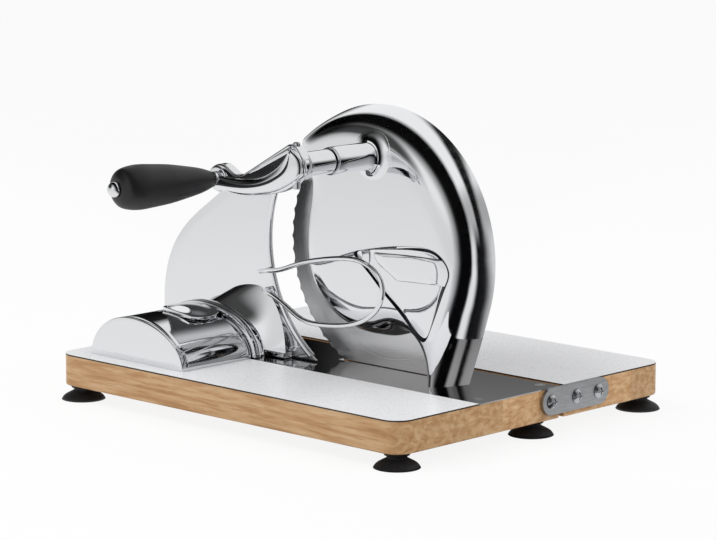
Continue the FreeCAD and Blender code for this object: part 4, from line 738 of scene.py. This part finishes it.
# ---------------- guide, lever and slice stop
def half_round(inset, base, rise=0, shift=0, right=0, left=0, groove=0, count=ARCH):
    """Closed plane loop of the half-round section: two quarter ellipses, steeper on the left, and a
    straight foot that a groove of the given height may cut at its middle."""
    turn = np.linspace(0, np.pi, count)
    wide = np.where(turn <= np.pi / 2, GUIDE_RIGHT - inset + right, GUIDE_LEFT - inset + left)
    high = (GUIDE_RISE - inset + rise) * np.sin(turn)
    top = np.stack([GUIDE_X + shift + wide * np.cos(turn), base + high], axis=1)
    foot = [(GUIDE_X + x, base + z) for x, z in ((-12.4, 0), (-12.4, groove), (12.4, groove), (12.4, 0))]
    return np.vstack([top, foot])


def guide_shell():
    """Half-round housing, 3 mm thick, open above for the thumb lever behind y = 46.6."""
    right, left = math.acos((-76.6 - GUIDE_X) / GUIDE_RIGHT), math.acos((-115.4 - GUIDE_X) / GUIDE_LEFT)
    turn = np.concatenate([np.linspace(0, right, 22)[:-1], np.linspace(right, left, 30),
                           np.linspace(left, np.pi, 16)[1:]])
    wide = np.where(turn <= np.pi / 2, GUIDE_RIGHT, GUIDE_LEFT)
    profile = np.stack([GUIDE_X + wide * np.cos(turn), TOP + GUIDE_RISE * np.sin(turn)], axis=1)
    y = np.concatenate([np.linspace(17, 46.6, 8), np.linspace(46.6, 82, 8)[1:]])
    keep = np.ones((len(y) - 1, len(turn) - 1), bool)
    keep[7:, 21:50] = False
    chromed("guide_shell_casting", [(sheet_grid(np.repeat(profile[None], len(y), 0), y[:, None]), False, keep)],
            "base", ["guide_housing"], 35, wall=CASTING_WALL, bevel=0.5)


def prism(line, middle, front, back, soft):
    """A flat plate: the outline carried from the back face to the front one, its edges rounded by
    soft, and both faces drawn in to a point inside."""
    middle = np.asarray(middle)
    run = np.roll(line, -1, 0) - np.roll(line, 1, 0)
    normal = unit(np.stack([run[:, 1], -run[:, 0]], axis=1))
    if ((line - middle) * normal).sum() < 0:
        normal = -normal
    turn = np.radians((0, 22, 45, 68, 90))
    inwards = soft * np.concatenate([1 - np.sin(turn), 1 - np.cos(turn)])
    core = [(line - normal * soft) * (1 - share) + middle * share for share in (0.15, 0.5, 1)]
    plane = np.stack(core[::-1] + [line - normal * inward for inward in inwards] + core)
    edges = back - soft * (1 - np.cos(turn)), front + soft * (1 - np.sin(turn))
    return sheet_grid(plane, np.concatenate([[back] * 3, *edges, [front] * 3])[:, None]), True


def guide_cap():
    """Flat end cap of the guide, 3 mm thick."""
    line = loop(half_round(0, TOP)[:ARCH], 150)
    chromed("guide_end_cap_plate", [prism(line, (-102, 46), 14, 17, 0.6)], "base", ["guide_end_cap"], 50)


def thumb_lever():
    """Pressed thumb pad that follows the guide 3 mm outside it: z is the ellipse's height at each
    x, and a round thumb rest swells 2.2 (1 - r^2)^1.5 above it, where r is the share of its reach.
    Its outline is a square with full corners: (u sqrt(1 - 0.36 v^2), v sqrt(1 - 0.36 u^2))."""
    v, u = np.meshgrid(np.linspace(-1, 1, 69), np.linspace(-1, 1, 80), indexing="ij")
    x = -96.0 + 19.0 * u * np.sqrt(1 - 0.36 * v ** 2)
    y = 64.0 + 17.0 * v * np.sqrt(1 - 0.36 * u ** 2)
    wide = np.where(x > GUIDE_X, GUIDE_RIGHT, GUIDE_LEFT) + 3.0
    z = TOP + (GUIDE_RISE + 3) * np.sqrt(1 - ((x - GUIDE_X) / wide) ** 2)
    reach = np.sqrt(((x + 94) / np.where(x > -94, 15.5, 19)) ** 2 + ((y - 63) / 15.5) ** 2)
    z += 2.2 * np.clip(1 - reach ** 2, 0, 1) ** 1.5
    chromed("thumb_lever_pad", [(np.stack([x, y, z], axis=-1), False)], "lever", ["thumb_lever"], 40,
            wall=3.6, bevel=0.8)
    knuckle = turned([(1.25, 49.4), (2.9, 49.4), (2.9, 78.6), (1.25, 78.6), (1.25, 49.3)], 0.3, (-110.5, 0, 62.4),
                     count=36)
    chromed("thumb_lever_knuckle", [knuckle], "lever", [], 40)


def stop_bracket():
    """The neck in the guide and the flare that carries the plate: half-round sections along y whose
    rise, shift and width grow as part^1.5, with a groove for the rail and room for the knuckle. The
    two ends are closed above the groove: z is at least 9.2 + 0.08 z over the foot."""
    y_at = np.concatenate([[21] * 2, np.linspace(21, NECK_END, 60), np.linspace(NECK_END, FLARE_END, 26)[1:],
                           [FLARE_END] * 2])
    part = np.maximum(0, (y_at - NECK_END) / (FLARE_END - NECK_END)) ** 1.5
    plane = np.stack([half_round(3.4, BRACKET_FOOT, rise=-0.4 + p * 20.4, shift=p * 37, right=-p * 37.0 * 0.58,
                                 left=p * 37.0 * 0.44, groove=9) for p in part])
    x, y, z = plane[..., 0], y_at[:, None], plane[..., 1]
    room = step(-np.abs(x + 110.5), -6.5, -4) * step(y, 46, 48.5) * step(-y, -82, -79.5)
    z[...] = np.where(z > 50, z * (1 - room) + np.minimum(z, 58) * room, z)
    for point, ring, middle in ((0, 1, GUIDE_X), (-1, -2, -72)):
        left, right = plane[ring, ARCH - 1, 0], plane[ring, 0, 0]
        top = plane[ring, :ARCH]
        top[:, 0] = np.clip(top[:, 0], 0.96 * left + 0.04 * right, 0.04 * left + 0.96 * right)
        top[:, 1] = np.maximum(top[:, 1], BRACKET_FOOT + 9.2 + 0.08 * (top[:, 1] - BRACKET_FOOT))
        plane[ring, ARCH:] = [(GUIDE_X + side, BRACKET_FOOT + 9.2) for side in (-13, -12.6, 12.6, 13)]
        plane[point] = (middle, 52)
    foot = prism(rectangle(-117, -33, 34.6, 38.6, 120), (-75, 36.6), 96, 104.9, 0.8)
    lugs = [prism(rectangle(-113, -108, 59.9, 64.3, 40), (-110.5, 62.1), front, front + 2, 0.3)
            for front in (47, 79)]
    chromed("stop_bracket_casting", [(sheet_grid(plane, y), True), foot] + lugs, "stop_carriage",
            ["stop_bracket"], 42)


def collar_ring():
    """The ring round the neck: half-round sections by (y, inset), with a groove along its middle."""
    form = [(83, 4.5), (83, -2.2), (83.3, -2.8), (83.9, -3), (86.3, -3), (86.6, -2.7), (86.8, -1.9)]
    form += [(175.0 - y, inset) for y, inset in form[::-1]]
    rows = [half_round(inset, BRACKET_FOOT, count=120) for _, inset in form]
    point = rows[0] * 0 + (GUIDE_X, 52)
    y = np.array([83] + [y for y, _ in form] + [92])[:, None]
    chromed("collar_ring_band", [(sheet_grid(np.stack([point] + rows + [point]), y), True)], "stop_carriage",
            ["collar_ring"], 35)


def stop_plate():
    """The slice stop: its right edge follows the blade at 98 mm from the axle, its left edge is a
    long bow, and a half-round bead stiffens the right edge."""
    rim = lambda z: BLADE[0] - np.sqrt(STOP_RADIUS ** 2 - (z - BLADE[1]) ** 2)
    z = np.linspace(159, 35.3, 90)
    right = np.stack([rim(z), z], axis=1)
    bow = curve([(-47.95 - 121.05 * s, z) for s, z in ((0.30, 159), (0.40, 155), (0.51, 146), (0.76, 124),
                                                       (0.91, 103), (0.985, 79), (1, 61), (0.985, 35.3))], 150)
    line = np.vstack([right, evenly([right[-1], bow[-1]], 60)[1:-1], bow[::-1],
                      evenly([bow[0], right[0]], 20)[1:-1]])
    plate = prism(line, (-97, 88), 105, 107, 0.35)
    z = np.linspace(158.4, 38, 90)
    bead = tube(np.stack([rim(z), 105.4 + 0 * z, z], axis=1), 2.4, (BLADE[0], 105.4, BLADE[1]), 24)
    chromed("stop_plate_sheet", [plate, bead], "stop_carriage", ["stop_plate"], 50)


def wire_loop():
    """The bent chrome wire: a smooth path from the plate out beside the blade and back."""
    path = curve([(-59.8, 105.2, 95), (-59.8, 100.5, 95), (-53, 92.5, 96.8), (-26.9, 77.5, 102.2), (-8.8, 70.5, 106),
                  (14.1, 66.5, 113.6), (37.1, 64.8, 119.2), (60.1, 63.8, 122.7), (74, 63, 122.8), (87, 62.3, 119),
                  (95, 62, 112.8), (97.4, 62, 105), (96, 62, 97.7), (90, 62.2, 89.4), (77, 62.8, 81),
                  (60.1, 63.8, 75.9), (40, 64.5, 73.4), (17.3, 66, 73.7), (-1, 69.5, 79.3), (-18, 74.5, 83.8),
                  (-50.5, 94, 82.6), (-55.2, 100.5, 82), (-55.2, 105.2, 82)], 300)
    chromed("wire_loop_rod", [tube(path, 1.75, (25, 30, 97))], "stop_carriage", ["wire_loop"], 60)


# ---------------- feet
def suction_cups():
    """Rubber suction cups: a thin lip on the table, a hollow underside, a narrow neck and a collar."""
    form = curve([(15.7, 0.5), (14.6, 2), (11.8, 4), (8.4, 5.8), (6.9, 7.2), (6.9, 8)], 26)
    profile = np.vstack([[(0, 3.6), (5, 3.4), (11, 1.6), (15.2, 0.05), (16, 0)], form,
                         [(7.6, 8.2), (8.6, 8.6), (8.9, 9.2), (8.9, 10.98), (0, 10.98)]])
    for name, body, rows in (("front_cups", "base", (13, 149)), ("rear_cups", "rear_table", (267,))):
        cups = [spun(profile, (x, y, 0), (0, 0, 1), 64) for x in (-157, 157) for y in rows]
        piece(name + "_rubber", cups, RUBBER, body, [name], "black_rubber", 45)


gap_of_housing = drive_housing()
bare_band(gap_of_housing)
crank_sleeve(gap_of_housing)
crank_arm()
hand_grip()
guide_shell()
guide_cap()
thumb_lever()
stop_bracket()
collar_ring()
stop_plate()
wire_loop()
suction_cups()

# ---------------- finishes of the carried-over nodes
FINISH = {name: finish for finish, names in (
    (OAK_FRONT, "front_board"), (OAK_REAR, "rear_board"), (LAMINATE, "front_panel rear_panel"),
    (BED_STEEL, "bed_plate"), (LINK_STEEL, "link_plate_left link_plate_right"), (BLADE_STEEL, "blade"),
    (GEAR_STEEL, "blade_gear drive_pinion gear_rivets"), (BRONZE, "shaft_bushes blade_bush"),
    (SCREW_STEEL, "bed_screws link_screws pivot_screws pinion_pin front_cup_studs rear_cup_studs blade_washer"),
) for name in names.split()}
for name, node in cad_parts.items():
    node.data.materials.clear()
    node.data.materials.append(FINISH.get(name, BRIGHT_STEEL))


# ---------------- floor, light and camera
def surface_of(name, points, faces, material):
    """A mesh object of the stage, not of the part."""
    mesh = bpy.data.meshes.new(name)
    mesh.from_pydata(points, [], faces)
    mesh.materials.append(material)
    thing = show(name, mesh)
    return thing


def floor():
    """A pale floor, 12 m across; the camera sees it near white, with the soft shadow of the part."""
    material, tree = blank("pale_studio_floor")
    shader = tree.nodes["Principled BSDF"]
    feed(tree, shader, {"Base Color": linear("EFEFEF"), "Roughness": 0.9})
    glow = add(tree, "Emission", {"Color": linear("FFFFFF")})
    ray = add(tree, "LightPath").outputs["Is Camera Ray"]
    seen = add(tree, "Math", {"operation": "MULTIPLY", 1: 0.88, 0: ray})
    mix = add(tree, "MixShader", {"Fac": seen, 1: shader, 2: glow})
    feed(tree, tree.nodes["Material Output"], {"Surface": mix})
    surface_of("floor", [(x, y, -0.0002) for x, y in ((-6, -6), (6, -6), (6, 6), (-6, 6))], [(0, 1, 2, 3)], material)


# dark walls as seen in a mirror: direction, where each starts and is full (cosines), its depth
WALLS = (((-0.62, -0.62, 0.45), 0.80, 0.95, 0.93), ((-0.93, -0.05, 0.28), 0.86, 0.96, 0.9),
         ((0.90, 0.24, 0.30), 0.84, 0.97, 0.5))
# a dark arch over the object from right to left and a narrow one beside it: their common normal,
# and the tones by (1 + direction . normal) / 2
ARCH_WAY = (0.249, 0.968, 0.064)
ARCH_TONES = ((0.0, "FCFCFC"), (0.143, "F0F0F0"), (0.284, "A4A4A6"), (0.375, "3A3A3C"), (0.425, "0A0A0C"),
              (0.62, "08080A"), (0.66, "FCFCFC"), (0.72, "FCFCFC"), (0.734, "101012"), (0.758, "202022"),
              (0.774, "F0F0F0"))


def studio_world():
    """White for the camera and soft for plain surfaces. Mirrors see a bright sky with a dark arch,
    whose tone follows direction . ARCH_WAY, times a dark quarter for each of the WALLS."""
    world = bpy.data.worlds.new("studio")
    bpy.context.scene.world = world
    world.use_nodes = True
    tree = world.node_tree
    tree.nodes.clear()
    at = add(tree, "TexCoord").outputs["Generated"]
    across = add(tree, "VectorMath", {"operation": "DOT_PRODUCT", 1: ARCH_WAY, 0: at})
    share = add(tree, "MapRange", {"From Min": -1.0, "From Max": 1.0, "Value": across})
    total = add(tree, "ValToRGB", {"Fac": share}, ARCH_TONES)
    for way, low, high, depth in WALLS:
        dot = add(tree, "VectorMath", {"operation": "DOT_PRODUCT", 0: at, 1: tuple(unit(np.array(way)))})
        lobe = add(tree, "MapRange", {"interpolation_type": "SMOOTHSTEP", "From Min": low, "From Max": high,
                                      "To Min": 1.0, "To Max": 1.0 - depth, "Value": dot})
        total = add(tree, "Math", {"operation": "MULTIPLY", 0: total, 1: lobe})
    sky = add(tree, "Background", {"Color": linear("FFFFFF"), "Strength": total})
    soft = add(tree, "Background", {"Color": linear("FBFBFC"), "Strength": 0.72})
    white = add(tree, "Background", {"Color": linear("FFFFFF")})
    ray = add(tree, "LightPath").outputs
    gloss = add(tree, "MixShader", {"Fac": ray["Is Glossy Ray"], 1: soft, 2: sky})
    seen = add(tree, "MixShader", {"Fac": ray["Is Camera Ray"], 1: gloss, 2: white})
    add(tree, "OutputWorld", {"Surface": seen})


# the screen round the table: tones by azimuth in degrees, far from the part and near it
SCREEN_HEIGHT, SCREEN_REACH, SCREEN_COLUMNS = 0.8, 1.6, 181
FAR_TONES = ((-180, "FCFCFC"), (-153, "FCFCFC"), (-147, "0C0C0E"), (-125, "0C0C0E"), (-119, "FCFCFC"),
             (30, "F0F0F0"), (50, "A4A4A6"), (61, "3A3A3C"), (67, "0A0A0C"), (89, "08080A"), (91.5, "FCFCFC"),
             (95, "FCFCFC"), (98, "101012"), (105, "202022"), (110, "F0F0F0"), (116, "F0F0F0"), (124, "0C0C0E"),
             (152, "0C0C0E"), (160, "FCFCFC"))
NEAR_TONES = ((-180, "FCFCFC"), (30, "F0F0F0"), (50, "A4A4A6"), (61, "3A3A3C"), (67, "0A0A0C"), (87, "0A0A0C"),
              (90, "F0F0F0"), (95, "F0F0F0"), (98, "101012"), (105, "202022"), (110, "F0F0F0"), (180, "FCFCFC"))


def reflection_screen():
    """What the polished parts mirror beside the table: a ring on the floor and a curtain behind
    it, both seen by reflections only. Its tone follows the azimuth a = atan2(x, -y) through the
    near tones within 0.3 m and the far ones beyond 0.65 m, and the curtain fades out upwards."""
    material, tree = blank("studio_curtain")
    at = add(tree, "TexCoord").outputs["Object"]
    parts = add(tree, "SeparateXYZ", {"Vector": at}).outputs
    back = add(tree, "Math", {"operation": "MULTIPLY", 1: -1.0, 0: parts["Y"]})
    azimuth = add(tree, "Math", {"operation": "ARCTAN2", 0: parts["X"], 1: back})
    share = add(tree, "MapRange", {"From Min": -math.pi, "From Max": math.pi, "Value": azimuth})
    near, away = (add(tree, "ValToRGB", {"Fac": share}, [((angle + 180) / 360, code) for angle, code in tones])
                  for tones in (NEAR_TONES, FAR_TONES))
    reach = add(tree, "VectorMath", {"operation": "LENGTH", 0: at})
    far = add(tree, "MapRange", {"From Min": 0.3, "From Max": 1.3, "To Min": 1.0, "To Max": 0.86, "Value": reach})
    deep = add(tree, "MapRange", {"interpolation_type": "SMOOTHSTEP", "From Min": 0.3, "From Max": 0.65,
                                  "Value": reach})
    tone = add(tree, "Mix", {"data_type": "RGBA", "Factor": deep, "A": near, "B": away})
    glow = add(tree, "Emission", {"Color": tone, "Strength": far})
    fade = add(tree, "MapRange", {"interpolation_type": "SMOOTHSTEP", "From Min": 0.2, "From Max": SCREEN_HEIGHT,
                                  "Value": parts["Z"]})
    whole = add(tree, "MixShader", {"Fac": fade, 1: glow, 2: add(tree, "BsdfTransparent")})
    feed(tree, tree.nodes["Material Output"], {"Surface": whole})
    turn = np.linspace(-np.pi, np.pi, SCREEN_COLUMNS)
    rows = [np.column_stack((radius * np.sin(turn), -radius * np.cos(turn), 0 * turn + high))
            for radius, high in ((0.02, 0.001), (SCREEN_REACH, 0.001), (SCREEN_REACH, SCREEN_HEIGHT))]
    thing = surface_of("reflection_screen", np.concatenate(rows).tolist(), quads(3, SCREEN_COLUMNS, False).tolist(),
                       material)
    thing.visible_camera = thing.visible_diffuse = thing.visible_shadow = False
    thing.visible_transmission = thing.visible_volume_scatter = False


def lamp(name, size, power, at):
    """A soft square area lamp that faces the middle of the part."""
    light = bpy.data.lights.new(name, "AREA")
    light.shape, light.size, light.energy = "SQUARE", size, power
    thing = show(name, light)
    thing.location = at
    thing.rotation_euler = (Vector((0, 0, 0.08)) - Vector(at)).to_track_quat("-Z", "Y").to_euler()
    thing.visible_glossy = False


floor()
studio_world()
reflection_screen()
lamp("key", 0.9, 14.5, (-0.7, -1.1, 1.5))
lamp("fill", 1.2, 7.0, (1.6, 0.2, 1.2))

camera = bpy.data.cameras.new("camera")
camera.lens, camera.sensor_width = 154.72, 36.0
camera.clip_start, camera.clip_end = 0.05, 60.0
eye = show("camera", camera)
eye.location = place([(1513.96, -1438.8, 474.3)])[0]
eye.rotation_euler = (math.radians(80.24), 0.0, math.radians(43.81))
bpy.context.scene.camera = eye
bpy.context.scene.view_settings.view_transform = "Standard"
